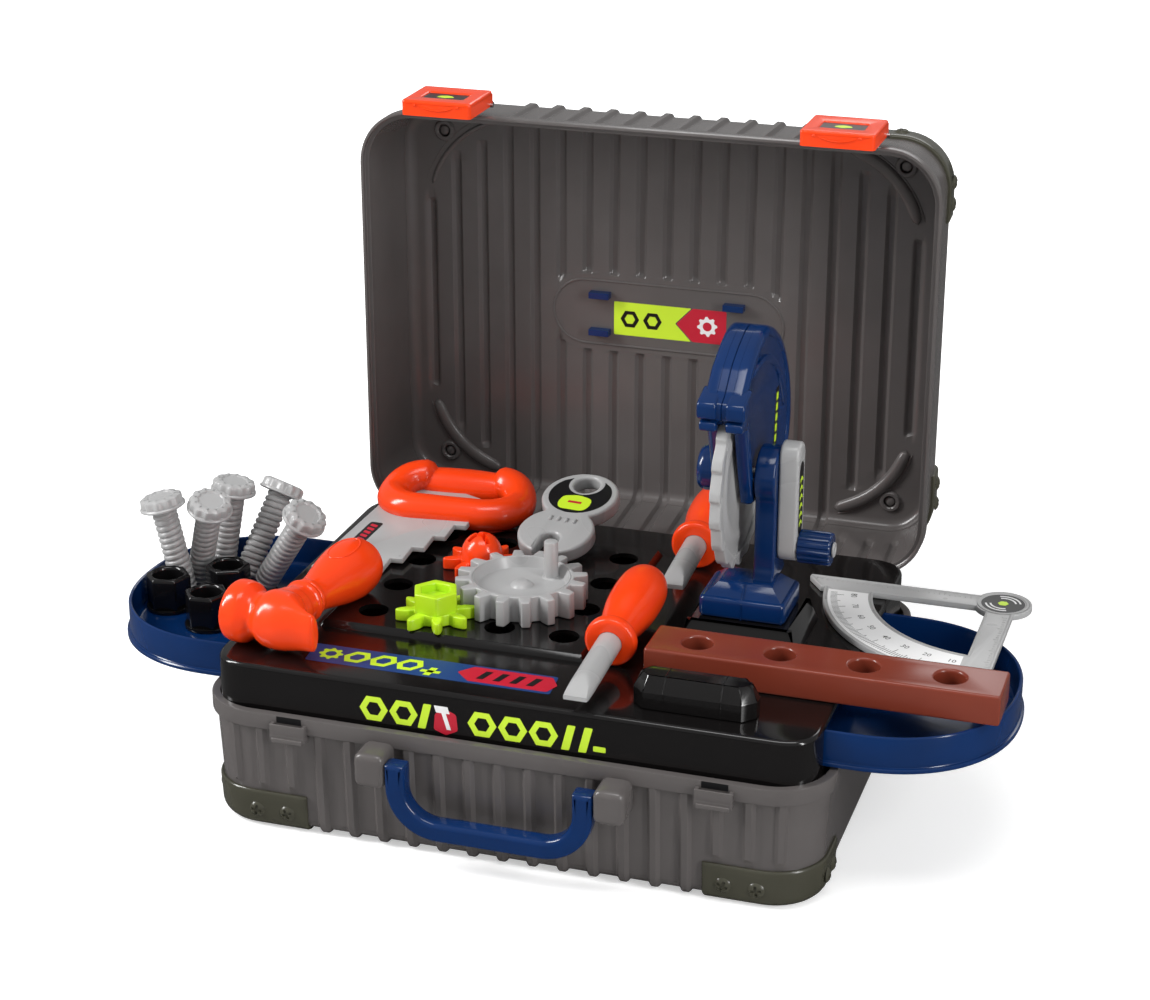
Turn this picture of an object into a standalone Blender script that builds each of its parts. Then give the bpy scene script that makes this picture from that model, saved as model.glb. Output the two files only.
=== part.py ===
"""Toy tool box: an open case with a work deck, pull-out side trays and its toy tools.

Metres, +Z up, the child stands at -Y. The origin is on the ground under the
middle of the case. The lid is modelled as it lies when shut and is then
turned back about its hinge, so every size of the two halves matches.
"""

import math

import bmesh
import bpy
from mathutils import Matrix, Vector

MM = 0.001

# Clearances shared by all pieces
GAP = 0.3 * MM
CUT_OVERRUN = 2 * MM
WELD_DISTANCE = 0.01 * MM
CORNER_SEGMENTS = 5
ROUND_SEGMENTS = 24

# Case
CASE_WIDTH = 412 * MM
CASE_DEPTH = 305 * MM
CASE_CORNER = 36 * MM
CASE_WALL = 2.8 * MM
CASE_DRAFT = 3.7 * MM
CASE_EDGE = 7 * MM
BASE_HEIGHT = 85 * MM
LID_HEIGHT = 75 * MM
RIM_GAP = 1 * MM
RIM_BAND = 11 * MM
RIB_HEIGHT = 2.5 * MM
RIB_WIDTH = 6 * MM
RIB_PITCH = 20 * MM
RIB_SLOPE = 4 * MM
LEDGE_DEPTH = 5.3 * MM
LEDGE_THICK = 3 * MM
LEDGE_WIDTH = 9 * MM

# Corner guards
GUARD_HEIGHT = 27 * MM
GUARD_REACH_X = 75 * MM
GUARD_REACH_Y = 60.5 * MM
SCREW_RADIUS = 4.2 * MM
SCREW_PROUD = 2.4 * MM
SCREW_PITCH = 19 * MM
SCREW_FACE_INSET = 8 * MM

# Hinges
HINGE_OUT = 5 * MM
HINGE_RISE = 7 * MM
HINGE_INSET = 76 * MM
KNUCKLE_RADIUS = 4.5 * MM
KNUCKLE_WIDTH = 16 * MM
EAR_WIDTH = 6 * MM
HINGE_PIN_RADIUS = 2 * MM
BORE_CLEARANCE = 0.3 * MM
EAR_FOOT = 12 * MM

# Latches
LATCH_INSET = 67 * MM
LATCH_WIDTH = 54 * MM
LATCH_THICK = 14 * MM
LATCH_ABOVE = 4.5 * MM
LATCH_BELOW = 41 * MM
LATCH_WALL = 2.5 * MM
LATCH_EDGE = 1.5 * MM
LATCH_PIVOT_RISE = 16.5 * MM
LATCH_PIVOT_OUT = 5 * MM
LATCH_WALL_GAP = 0.6 * MM
LATCH_WINDOW_SHARES = (0.42, 0.3)
LUG_WIDTH = 20 * MM
LUG_RADIUS = 3.6 * MM
LATCH_PIN_RADIUS = 1.5 * MM
KEEPER_WIDTH = 24 * MM
KEEPER_HEIGHT = 15 * MM
KEEPER_PROUD = 4 * MM

# Carry handle
HANDLE_SPAN = 122 * MM
HANDLE_DROP = 36 * MM
HANDLE_BAR = 13 * MM
HANDLE_BEND = 27 * MM
HANDLE_EDGE = 3 * MM
HANDLE_PIVOT_DROP = 19 * MM
HANDLE_OUT = 13 * MM
STUB_RADIUS = 3 * MM
STUB_LENGTH = 7 * MM
BOSS_WIDTH = 20 * MM
BOSS_SIZE = 23 * MM
BOSS_EDGE = 3 * MM

# Deck
DECK_SIDE_MARGIN = 9 * MM
DECK_END_MARGIN = 8 * MM
DECK_CORNER = 25 * MM
DECK_WALL = 3 * MM
DECK_EDGE = 3 * MM
DECK_RISE = 29 * MM
PEG_PLATE_RISE = 4 * MM
PEG_PLATE_LEFT = -150 * MM
PEG_PLATE_RIGHT = 33 * MM
PEG_PLATE_FRONT = -77 * MM
PEG_PLATE_BACK = 106 * MM
PEG_PITCH = 44 * MM
PEG_FIRST_X = -121 * MM
PEG_FIRST_Y = -51.5 * MM
PEG_COUNT = 4
PEG_HOLE_RADIUS = 10 * MM

# Side trays
TRAY_REACH = 104 * MM
TRAY_TONGUE = 13 * MM
TRAY_HALF_DEPTH = 90 * MM
TRAY_CENTRE_Y = -24 * MM
TRAY_STRAIGHT = 18 * MM
TRAY_CURVE_POWER = 2.2
TRAY_CURVE_POINTS = 14
TRAY_HEIGHT = 23.5 * MM
TRAY_WALL = 2.5 * MM
TRAY_FOOT_LIP = 2 * MM
TRAY_FOOT_LIP_HEIGHT = 3 * MM
TRAY_SLOT_SILL = 1.5 * MM
TRAY_SLOT_CLEARANCE = 1 * MM

# Chop saw
PEDESTAL_HEIGHT = 16 * MM
PEDESTAL_TOP_WIDTH = 64 * MM
PEDESTAL_TOP_DEPTH = 52 * MM
PEDESTAL_FLARE = 8 * MM
SAW_X = 119.5 * MM
SAW_Y = 3 * MM
SAW_BLOCK_WIDTH = 57 * MM
SAW_BLOCK_DEPTH = 46 * MM
SAW_BLOCK_HEIGHT = 22 * MM
SAW_BLOCK_EDGE = 3 * MM
SAW_AXLE_Y = 10.5 * MM
SAW_AXLE_RISE = 68 * MM
SAW_AXLE_X = -11.5 * MM
BLADE_RADIUS = 63 * MM
BLADE_DISC_RADIUS = 54 * MM
BLADE_THICK = 7 * MM
BLADE_DISC_THICK = 4 * MM
BLADE_TEETH = 20
BLADE_TOOTH = 5 * MM
BLADE_TIP_SHARES = (0.62, 0.9)
BLADE_CLEARANCE = 1.5 * MM
HEAD_RISE = 31 * MM
HEAD_HALF_WIDTH = 13.5 * MM
HEAD_EDGE = 1.5 * MM
HEAD_LIP_WIDTH = 2 * MM
HEAD_SHARES = (
    (-0.543, 0.553), (-0.543, 0.66), (-0.46, 0.69), (-0.277, 0.851), (0.043, 0.979),
    (0.13, 1.0), (0.38, 0.925), (0.66, 0.723), (0.851, 0.468), (0.936, 0.19),
    (0.894, -0.085), (0.745, -0.213), (0.213, -0.213), (-0.15, -0.19), (-0.234, 0.0), (-0.404, 0.468),
)
LIP_SHARES = ((-0.56, 0.55), (-0.56, 0.665), (-0.34, 0.715), (-0.34, 0.56))
COLUMN_WIDTH = 13.7 * MM
COLUMN_DEPTH = 30 * MM
BOSS_RADIUS = 19.5 * MM
LEFT_BOSS_RADIUS = 15 * MM
LEFT_BOSS_WIDTH = 12.5 * MM
AXLE_RADIUS = 4 * MM
CRANK_THICK = 12.7 * MM
CRANK_HALF_WIDTH = 10 * MM
CRANK_TOP = 14 * MM
CRANK_THROW = 47 * MM
CRANK_EDGE = 1.5 * MM
CRANK_SEAT_DEPTH = 8 * MM
KNOB_LENGTH = 21.5 * MM
KNOB_RADIUS = 11 * MM
KNOB_RIDGES = 14
KNOB_RIDGE = 0.8 * MM
KNOB_PIN_RADIUS = 2.5 * MM
KNOB_CAP_RADIUS = 5 * MM
KNOB_CAP_THICK = 1.5 * MM

# Gears
GEAR_MODULE = PEG_PITCH * math.sqrt(2) / 12
GEAR_TEETH = 16
PINION_TEETH = 8
GEAR_ADDENDUM_SHARE = 0.93
GEAR_DEDENDUM_SHARE = 1.2
GEAR_BACKLASH = 1.6 * MM
GEAR_PRESSURE_SHARE = 0.139
GEAR_THICK = 18 * MM
GEAR_DISH = 7 * MM
GEAR_DISH_RADIUS = 29 * MM
GEAR_HUB_RADIUS = 7 * MM
GEAR_HUB_HEIGHT = 3 * MM
PINION_THICK = 8 * MM
STEM_CLEARANCE = 0.4 * MM
STEM_LENGTH = 3.4 * MM
CRANK_PEG_RADIUS = 5 * MM
CRANK_PEG_OFFSET = 24 * MM
CRANK_PEG_HEIGHT = 26 * MM
CRANK_PEG_TURN_SHARE = 0.15
HEX_TURN_SHARE = 0.1417
HEX_HUB_RADIUS = 15.4 * MM
HEX_HUB_HEIGHT = 9 * MM
HEX_CAP_RADIUS = 12.8 * MM
HEX_CAP_HEIGHT = 4 * MM
HUB_SLOT = 6 * MM
DOME_RADIUS = 14.5 * MM
DOME_HEIGHT = 17 * MM

# Board held at the clamp bar
BOARD_LENGTH = 223 * MM
BOARD_WIDTH = 38 * MM
BOARD_THICK = 20 * MM
BOARD_LEFT = 74 * MM
BOARD_Y = -67 * MM
BOARD_EDGE = 2.5 * MM
BOARD_HOLES = 4
BOARD_HOLE_PITCH = 53 * MM
BOARD_HOLE_FIRST = 30 * MM
BOARD_HOLE_RADIUS = 9.7 * MM

# Clamp bar at the front of the deck
JAW_LENGTH = 78 * MM
JAW_DEPTH = 24 * MM
JAW_HEIGHT = 21 * MM
JAW_CHAMFER = 7 * MM
JAW_X = 117 * MM
JAW_Y = -116 * MM

# Protractor square
SQUARE_X = 272 * MM
SQUARE_Y = 86 * MM
SQUARE_THICK = 4.2 * MM
SQUARE_ARM = 9 * MM
SQUARE_LONG = 132 * MM
SQUARE_SHORT = 124 * MM
SQUARE_EYE_RADIUS = 19 * MM
SQUARE_SCALE_INNER = 86 * MM
SQUARE_SCALE_OUTER = 119 * MM
ARC_POINTS = 20

# Hand saw
HANDSAW_BLADE_THICK = 4 * MM
HANDSAW_TOOTH_PITCH = 21 * MM
HANDSAW_TOOTH_DEPTH = 7.8 * MM
HANDSAW_TEETH = 6
HANDSAW_HEEL = 84 * MM
HANDSAW_TIP = 36 * MM
HANDSAW_BACK_LEAD_SHARE = 0.16
HANDSAW_TURN_SHARE = 0.184
HANDSAW_TILT_SHARE = 0.0125
HANDSAW_X = -146 * MM
HANDSAW_Y = 1 * MM
HANDSAW_RISE = 2.3 * MM
GRIP_HALF_LENGTH = 43 * MM
GRIP_HALF_DEPTH = 23 * MM
GRIP_TUBE = 12 * MM
GRIP_X = -128.5 * MM
GRIP_Y = 116.5 * MM
GRIP_RISE = 13 * MM
GRIP_HORN = 7 * MM
GRIP_BACK_SHARE = 1.08
GRIP_FRONT_SHARE = 0.96
GRIP_TURN_SHARE = 0.008

# Wrench
WRENCH_THICK = 11 * MM
WRENCH_LENGTH = 44 * MM
WRENCH_EYE_RADIUS = 27.5 * MM
WRENCH_EYE_HOLE = 9 * MM
WRENCH_HOLE_OUT = 13 * MM
WRENCH_JAW_RADIUS = 27 * MM
WRENCH_JAW_GAP = 6.5 * MM
WRENCH_JAW_DEPTH = 17 * MM
WRENCH_NECK = 17 * MM
WRENCH_X = -37 * MM
WRENCH_Y = 78 * MM
WRENCH_RISE = 12.1 * MM
WRENCH_TURN_SHARE = -0.015
WRENCH_TILT_SHARE = 0.036

# Hammer
HAMMER_X = -160 * MM
HAMMER_Y = -117 * MM
HAMMER_FACE_RADIUS = 20.5 * MM
HAMMER_FACE_THICK = 15 * MM
HAMMER_NECK_RADIUS = 15 * MM
HAMMER_BARREL_RADIUS = 19 * MM
HAMMER_LENGTH = 68 * MM
HAMMER_CLAW_TIP = 5 * MM
HAMMER_COLLAR_RADIUS = 14 * MM
HAMMER_COLLAR_LENGTH = 28 * MM
HAMMER_SPIGOT_RADIUS = 6 * MM
HAMMER_SPIGOT_LENGTH = 8 * MM
HAMMER_GRIP_LENGTH = 74 * MM
HAMMER_GRIP_RADIUS = 17.5 * MM
HAMMER_GRIP_NECK = 12 * MM
HAMMER_TURN_SHARE = -0.03
HAMMER_LIFT_SHARE = 0.004

# Screwdrivers
DRIVER_HANDLE_LENGTH = 92 * MM
DRIVER_HANDLE_RADIUS = 17 * MM
DRIVER_COLLAR_RADIUS = 16.5 * MM
DRIVER_COLLAR_LENGTH = 9 * MM
DRIVER_WAIST_RADIUS = 12.5 * MM
DRIVER_SHAFT_RADIUS = 8 * MM
DRIVER_SHAFT_LENGTH = 70 * MM
DRIVER_SHAFT_SEAT = 12 * MM
DRIVER_TIP_THICK = 3 * MM
DRIVER_TIP_LENGTH = 16 * MM

# Bolts and nuts
BOLT_LENGTH = 71 * MM
BOLT_RADIUS = 8.7 * MM
BOLT_HEAD_RADIUS = 15.8 * MM
BOLT_HEAD_THICK = 9 * MM
BOLT_EDGE = 1.2 * MM
NUT_RADIUS = 16 * MM
NUT_HEIGHT = 25 * MM
NUT_BORE = 9.5 * MM

# Badge plate on the outside of the lid
BADGE_LENGTH = 172 * MM
BADGE_HEIGHT = 48 * MM
BADGE_Y = 2.5 * MM
BADGE_THICK = 1.9 * MM
BADGE_MARGIN = 3 * MM
CLIP_X = 50 * MM
CLIP_Y = 14 * MM
CLIP_WIDTH = 15 * MM
CLIP_THICK = 4.5 * MM
CLIP_HEIGHT = 9 * MM
CLIP_CLEARANCE = 0.5 * MM
BADGE_SINK = 0.5 * MM

# Places worked out from the sizes
HALF_X = CASE_WIDTH / 2
HALF_Y = CASE_DEPTH / 2
WALL_X = HALF_X - RIB_HEIGHT
WALL_Y = HALF_Y - RIB_HEIGHT
GUARD_INNER_X = HALF_X - GUARD_REACH_X
GUARD_INNER_Y = HALF_Y - GUARD_REACH_Y
HINGE_X = HALF_X - HINGE_INSET
LATCH_X = HALF_X - LATCH_INSET
OUTER_RIBS = int((HALF_X - CASE_CORNER / 2) / RIB_PITCH)
FULL_RIBS = int(GUARD_INNER_X / RIB_PITCH)
LID_FRONT_RIBS = int((LATCH_X - LATCH_WIDTH / 2) / RIB_PITCH)
HANDLE_PIVOT_Z = BASE_HEIGHT - HANDLE_PIVOT_DROP
HINGE_Y = HALF_Y + HINGE_OUT
HINGE_Z = BASE_HEIGHT + HINGE_RISE
DECK_WIDTH = CASE_WIDTH - 2 * DECK_SIDE_MARGIN
DECK_DEPTH = CASE_DEPTH - 2 * DECK_END_MARGIN
DECK_TOP = BASE_HEIGHT + DECK_RISE
DECK_FOOT = BASE_HEIGHT - LEDGE_DEPTH + GAP
PEG_PLATE_TOP = DECK_TOP + PEG_PLATE_RISE
HANDSAW_Z = PEG_PLATE_TOP + HANDSAW_RISE
GRIP_Z = PEG_PLATE_TOP + GRIP_RISE
WRENCH_Z = PEG_PLATE_TOP + WRENCH_RISE
TRAY_FOOT = BASE_HEIGHT + TRAY_SLOT_SILL + GAP
SAW_FOOT = DECK_TOP + PEDESTAL_HEIGHT + GAP
SAW_TABLE = SAW_FOOT + SAW_BLOCK_HEIGHT
SAW_AXLE = Vector((SAW_X + SAW_AXLE_X, SAW_Y + SAW_AXLE_Y, SAW_TABLE + SAW_AXLE_RISE))
COLUMN_X = HEAD_HALF_WIDTH + 2 * GAP
CRANK_X = COLUMN_X + COLUMN_WIDTH + GAP
KNOB_X = CRANK_X + CRANK_THICK + GAP
GEAR_CENTRE = Vector((PEG_FIRST_X + 2 * PEG_PITCH, PEG_FIRST_Y + PEG_PITCH, PEG_PLATE_TOP + GAP))
TURN = 2 * math.pi

for old in list(bpy.data.objects):
    bpy.data.objects.remove(old, do_unlink=True)

pieces = bpy.data.collections.new("toy_tool_box")
cutters = bpy.data.collections.new("cutters")
bpy.context.scene.collection.children.link(pieces)
bpy.context.scene.collection.children.link(cutters)


# Materials

def paint(name, colour, roughness):
    """A plain moulded plastic of one colour."""
    material = bpy.data.materials.new(name)
    material.use_nodes = True
    shader = material.node_tree.nodes["Principled BSDF"]
    shader.inputs["Base Color"].default_value = (*colour, 1)
    shader.inputs["Roughness"].default_value = roughness
    shader.inputs["Metallic"].default_value = 0
    return material


CASE_GREY = paint("case_grey", (0.117, 0.107, 0.105), 0.42)
GUARD_OLIVE = paint("guard_olive", (0.07, 0.068, 0.05), 0.35)
DECK_BLACK = paint("deck_black", (0.02, 0.017, 0.017), 0.18)
BLUE = paint("blue", (0.012, 0.045, 0.17), 0.25)
ORANGE = paint("orange", (0.9, 0.07, 0.01), 0.28)
LIME = paint("lime", (0.45, 0.72, 0.02), 0.3)
TOOL_GREY = paint("tool_grey", (0.34, 0.34, 0.34), 0.4)
BOARD_BROWN = paint("board_brown", (0.23, 0.045, 0.025), 0.4)
NUT_BLACK = paint("nut_black", (0.006, 0.006, 0.006), 0.25)


# Shape helpers

def block_mesh(size, centre=(0, 0, 0), bevel=0, segments=1):
    """A box with bevelled edges."""
    bm = bmesh.new()
    bmesh.ops.create_cube(bm, size=1)
    for vert in bm.verts:
        vert.co = Vector(v * s for v, s in zip(vert.co, size))
    if bevel:
        bmesh.ops.bevel(bm, geom=bm.edges[:], offset=bevel, segments=segments, affect='EDGES',
                        profile=0.5, clamp_overlap=True)
    bmesh.ops.translate(bm, verts=bm.verts, vec=centre)
    return to_mesh(bm)


def case_mesh(half_x, half_y, rim_z, end_z, corner, inset=0, edge=0):
    """A block with round upright corners whose far end is drawn in and rounded."""
    bm = bmesh.new()
    bmesh.ops.create_cube(bm, size=2)
    low = min(rim_z, end_z)
    high = max(rim_z, end_z)
    for vert in bm.verts:
        vert.co.x *= half_x
        vert.co.y *= half_y
        vert.co.z = high if vert.co.z > 0 else low
    upright = [e for e in bm.edges if abs(e.verts[0].co.z - e.verts[1].co.z) > (high - low) / 2]
    bmesh.ops.bevel(bm, geom=upright, offset=corner, segments=CORNER_SEGMENTS, affect='EDGES',
                    profile=0.5, clamp_overlap=True)
    far = [v for v in bm.verts if abs(v.co.z - end_z) < (high - low) / 2]
    for vert in far:
        vert.co.x *= (half_x - inset) / half_x
        vert.co.y *= (half_y - inset) / half_y
    if edge:
        rim = [e for e in bm.edges if e.verts[0] in far and e.verts[1] in far]
        bmesh.ops.bevel(bm, geom=rim, offset=edge, segments=2, affect='EDGES',
                        profile=0.5, clamp_overlap=True)
    bmesh.ops.triangulate(bm, faces=bm.faces)
    return to_mesh(bm)


def cone_mesh(radius_low, radius_high, height, segments=ROUND_SEGMENTS, turn=0):
    """A cylinder or cone standing on z = 0."""
    bm = bmesh.new()
    bmesh.ops.create_cone(bm, cap_ends=True, cap_tris=False, segments=segments,
                          radius1=radius_low, radius2=radius_high, depth=height)
    bmesh.ops.rotate(bm, verts=bm.verts, matrix=Matrix.Rotation(turn, 3, 'Z'))
    bmesh.ops.translate(bm, verts=bm.verts, vec=(0, 0, height / 2))
    return to_mesh(bm)


def to_mesh(bm):
    mesh = bpy.data.meshes.new("shape")
    bmesh.ops.recalc_face_normals(bm, faces=bm.faces)
    bm.to_mesh(mesh)
    bm.free()
    return mesh


def baked_mesh(obj):
    """The evaluated shape of a helper object, welded; the helper is removed."""
    bpy.context.view_layer.update()
    graph = bpy.context.evaluated_depsgraph_get()
    mesh = bpy.data.meshes.new_from_object(obj.evaluated_get(graph))
    bpy.data.objects.remove(obj, do_unlink=True)
    bm = bmesh.new()
    bm.from_mesh(mesh)
    bmesh.ops.remove_doubles(bm, verts=bm.verts, dist=WELD_DISTANCE)
    bmesh.ops.triangulate(bm, faces=bm.faces)
    bmesh.ops.recalc_face_normals(bm, faces=bm.faces)
    bm.to_mesh(mesh)
    bm.free()
    return mesh


def plate_mesh(loops, thickness, bevel=0):
    """A flat outline with holes, thickness centred on z = 0."""
    curve = bpy.data.curves.new("outline", 'CURVE')
    curve.dimensions = '2D'
    curve.fill_mode = 'BOTH'
    curve.extrude = thickness / 2
    for loop in loops:
        spline = curve.splines.new('POLY')
        spline.points.add(len(loop) - 1)
        for point, (x, y) in zip(spline.points, loop):
            point.co = (x, y, 0, 1)
        spline.use_cyclic_u = True
    obj = bpy.data.objects.new("outline", curve)
    cutters.objects.link(obj)
    mesh = baked_mesh(obj)
    if bevel:
        bm = bmesh.new()
        bm.from_mesh(mesh)
        rims = [e for e in bm.edges if len(e.link_faces) == 2 and e.calc_face_angle() > 1.2
                and abs(e.verts[0].co.z - e.verts[1].co.z) < WELD_DISTANCE]
        bmesh.ops.bevel(bm, geom=rims, offset=bevel, segments=1, affect='EDGES', clamp_overlap=True)
        bm.to_mesh(mesh)
        bm.free()
    return mesh


def turned_mesh(profile, segments=ROUND_SEGMENTS):
    """A turned body about Z; the profile runs down the outer side, top to bottom."""
    mesh = bpy.data.meshes.new("profile")
    edges = [(i, i + 1) for i in range(len(profile) - 1)]
    mesh.from_pydata([(radius, 0, z) for radius, z in profile], edges, [])
    obj = bpy.data.objects.new("profile", mesh)
    cutters.objects.link(obj)
    screw = obj.modifiers.new("turn", 'SCREW')
    screw.steps = segments
    screw.render_steps = segments
    screw.use_merge_vertices = True
    screw.merge_threshold = WELD_DISTANCE
    return baked_mesh(obj)


def moved(mesh, *matrices):
    """The mesh after the given matrices, the last one first."""
    for matrix in reversed(matrices):
        mesh.transform(matrix)
    return mesh


def at(x, y, z):
    return Matrix.Translation((x, y, z))


def turn(angle, axis):
    return Matrix.Rotation(angle, 4, axis)


ALONG_X = Matrix(((0, 0, 1, 0), (1, 0, 0, 0), (0, 1, 0, 0), (0, 0, 0, 1)))
ALONG_Y = Matrix.Rotation(-math.pi / 2, 4, 'X')


def circle(radius, x=0, y=0, count=ROUND_SEGMENTS):
    return [(x + radius * math.cos(TURN * i / count), y + radius * math.sin(TURN * i / count))
            for i in range(count)]


def arc(radius, start, end, count, x=0, y=0):
    """Points from one angle to the other, both included."""
    angles = [start + (end - start) * i / (count - 1) for i in range(count)]
    return [(x + radius * math.cos(a), y + radius * math.sin(a)) for a in angles]


def piece(name, mesh, material, location=(0, 0, 0), rotation=(0, 0, 0), parent=None):
    """A named sub-part; its mesh is given about its own origin."""
    mesh.name = name
    mesh.materials.clear()
    mesh.materials.append(material)
    mesh.shade_smooth()
    mesh.set_sharp_from_angle(angle=math.radians(30))
    obj = bpy.data.objects.new(name, mesh)
    obj.location = location
    obj.rotation_euler = rotation
    obj.parent = parent
    pieces.objects.link(obj)
    return obj


def shape(obj, mesh, operation):
    """Joins or cuts a shape, given in the piece's own frame."""
    tool = bpy.data.objects.new(obj.name + "_" + operation.lower(), mesh)
    tool.parent = obj
    tool.hide_render = True
    tool.display_type = 'WIRE'
    cutters.objects.link(tool)
    modifier = obj.modifiers.new(operation.lower(), 'BOOLEAN')
    modifier.operation = operation
    modifier.object = tool
    modifier.solver = 'EXACT'


def join(obj, mesh):
    shape(obj, mesh, 'UNION')


def cut(obj, mesh):
    shape(obj, mesh, 'DIFFERENCE')


def merged(meshes):
    """Several shapes that don't touch, as one mesh."""
    bm = bmesh.new()
    for mesh in meshes:
        bm.from_mesh(mesh)
    return to_mesh(bm)


# Case halves: the rim lies at z = 0 and the closed end at side times the height

def wall_inset(height, z):
    """How far the wall has leaned in at a distance z from the rim."""
    return CASE_DRAFT * z / (height - RIB_HEIGHT)


def rib_loops(height, side, front, back, start):
    """One rib as a closed strip round the case, or only the part past the start."""
    foot = WALL_Y + RIB_HEIGHT - wall_inset(height, height)
    reach_front = -foot if front else -foot + CASE_EDGE + RIB_SLOPE
    reach_back = foot if back else foot - CASE_EDGE - RIB_SLOPE
    sink = height - RIB_HEIGHT - CASE_WALL / 2
    top_front = -(WALL_Y + RIB_HEIGHT - wall_inset(height, start))
    top_back = -top_front
    deep = height - RIB_HEIGHT - CASE_EDGE
    loop = []
    if front:
        loop += [(top_front + RIB_HEIGHT + CASE_WALL / 2, start), (top_front, start), (reach_front, deep),
                 (reach_front + CASE_EDGE, height)]
        inner_front = (top_front + RIB_HEIGHT + CASE_WALL / 2 + wall_inset(height, deep), deep)
    else:
        loop += [(reach_front, sink), (reach_front + RIB_SLOPE, height)]
        inner_front = None
    if back:
        loop += [(reach_back - CASE_EDGE, height), (reach_back, deep), (top_back, start),
                 (top_back - RIB_HEIGHT - CASE_WALL / 2, start)]
        loop += [(top_back - RIB_HEIGHT - CASE_WALL / 2 - wall_inset(height, deep), deep)]
        loop += [(reach_back - CASE_EDGE, sink)]
    else:
        loop += [(reach_back - RIB_SLOPE, height), (reach_back, sink)]
    if inner_front:
        loop += [(reach_front + CASE_EDGE, sink), inner_front]
    return [(y, side * z) for y, z in loop]


def wall_rib_loop(height, side, y_sign, start, end):
    """A short rib on the front or back wall only."""
    outer = WALL_Y + RIB_HEIGHT
    inner = WALL_Y - CASE_WALL / 2
    points = [(inner - wall_inset(height, start), start), (outer - wall_inset(height, start), start),
              (outer - wall_inset(height, end), end), (inner - wall_inset(height, end), end)]
    return [(y_sign * y, side * z) for y, z in points]


def panel_rib_loop(height, side):
    """A rib on the closed end only, between the corner guards."""
    reach = GUARD_INNER_Y - RIB_WIDTH / 2
    sink = height - RIB_HEIGHT - CASE_WALL / 2
    points = [(-reach, sink), (-reach + RIB_SLOPE, height), (reach - RIB_SLOPE, height), (reach, sink)]
    return [(y, side * z) for y, z in points]


def case_half(name, height, side, front_ribs, location, parent=None):
    """A ribbed moulded shell, open at the rim."""
    end = side * (height - RIB_HEIGHT)
    shell = piece(name, case_mesh(WALL_X, WALL_Y, 0, end, CASE_CORNER, CASE_DRAFT, CASE_EDGE),
                  CASE_GREY, location, parent=parent)
    ribs = []
    start = RIM_BAND / 2
    for index in range(-OUTER_RIBS, OUTER_RIBS + 1):
        x = index * RIB_PITCH
        if abs(index) <= FULL_RIBS:
            loop = rib_loops(height, side, abs(index) <= front_ribs, True, start)
            ribs.append(moved(plate_mesh([loop], RIB_WIDTH), at(x, 0, 0), ALONG_X))
        else:
            ribs.append(moved(plate_mesh([panel_rib_loop(height, side)], RIB_WIDTH), at(x, 0, 0), ALONG_X))
            stop = height - GUARD_HEIGHT - RIB_WIDTH / 2
            for y_sign in (-1, 1):
                if y_sign > 0 or front_ribs >= FULL_RIBS:
                    loop = wall_rib_loop(height, side, y_sign, start, stop)
                    ribs.append(moved(plate_mesh([loop], RIB_WIDTH), at(x, 0, 0), ALONG_X))
    join(shell, merged(ribs))
    join(shell, case_mesh(HALF_X, HALF_Y, 0, side * RIM_BAND, CASE_CORNER + RIB_HEIGHT))
    return shell


def corner_guard(name, height, side, x_sign, y_sign, location, parent=None):
    """A corner cap with two screws on each face, flush with the ribs."""
    start = height - GUARD_HEIGHT
    lean = wall_inset(height, start)
    tail = wall_inset(height, height) - lean
    outer = case_mesh(HALF_X - lean, HALF_Y - lean, side * start, side * height,
                      CASE_CORNER + RIB_HEIGHT, tail, CASE_EDGE + RIB_HEIGHT)
    guard = piece(name, outer, GUARD_OLIVE, location, parent=parent)
    region_x = HALF_X - GUARD_INNER_X + CUT_OVERRUN
    region_y = HALF_Y - GUARD_INNER_Y + CUT_OVERRUN
    centre = (x_sign * (GUARD_INNER_X + region_x / 2), y_sign * (GUARD_INNER_Y + region_y / 2),
              side * (start + GUARD_HEIGHT / 2))
    shape(guard, block_mesh((region_x, region_y, GUARD_HEIGHT + CUT_OVERRUN), centre), 'INTERSECT')
    cut(guard, case_mesh(WALL_X + GAP, WALL_Y + GAP, 0, side * (height - RIB_HEIGHT + GAP),
                         CASE_CORNER + GAP, CASE_DRAFT, CASE_EDGE))
    heads = []
    middle = side * (height - GUARD_HEIGHT / 2)
    lean_mid = wall_inset(height, height - GUARD_HEIGHT / 2)
    for step in (0, 1):
        x = x_sign * (GUARD_INNER_X + SCREW_FACE_INSET + SCREW_RADIUS + step * SCREW_PITCH)
        y = y_sign * (GUARD_INNER_Y + SCREW_FACE_INSET + SCREW_RADIUS / 2 + step * SCREW_PITCH * 0.8)
        sink = RIB_HEIGHT / 2
        head = cone_mesh(SCREW_RADIUS, SCREW_RADIUS / 2, SCREW_PROUD + sink, 8)
        heads.append(moved(head, at(x, y_sign * (HALF_Y - lean_mid - sink), middle),
                           turn(-y_sign * math.pi / 2, 'X')))
        head = cone_mesh(SCREW_RADIUS, SCREW_RADIUS / 2, SCREW_PROUD + sink, 8)
        heads.append(moved(head, at(x_sign * (HALF_X - lean_mid - sink), y, middle),
                           turn(x_sign * math.pi / 2, 'Y')))
    join(guard, merged(heads))
    return guard


# Base

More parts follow.
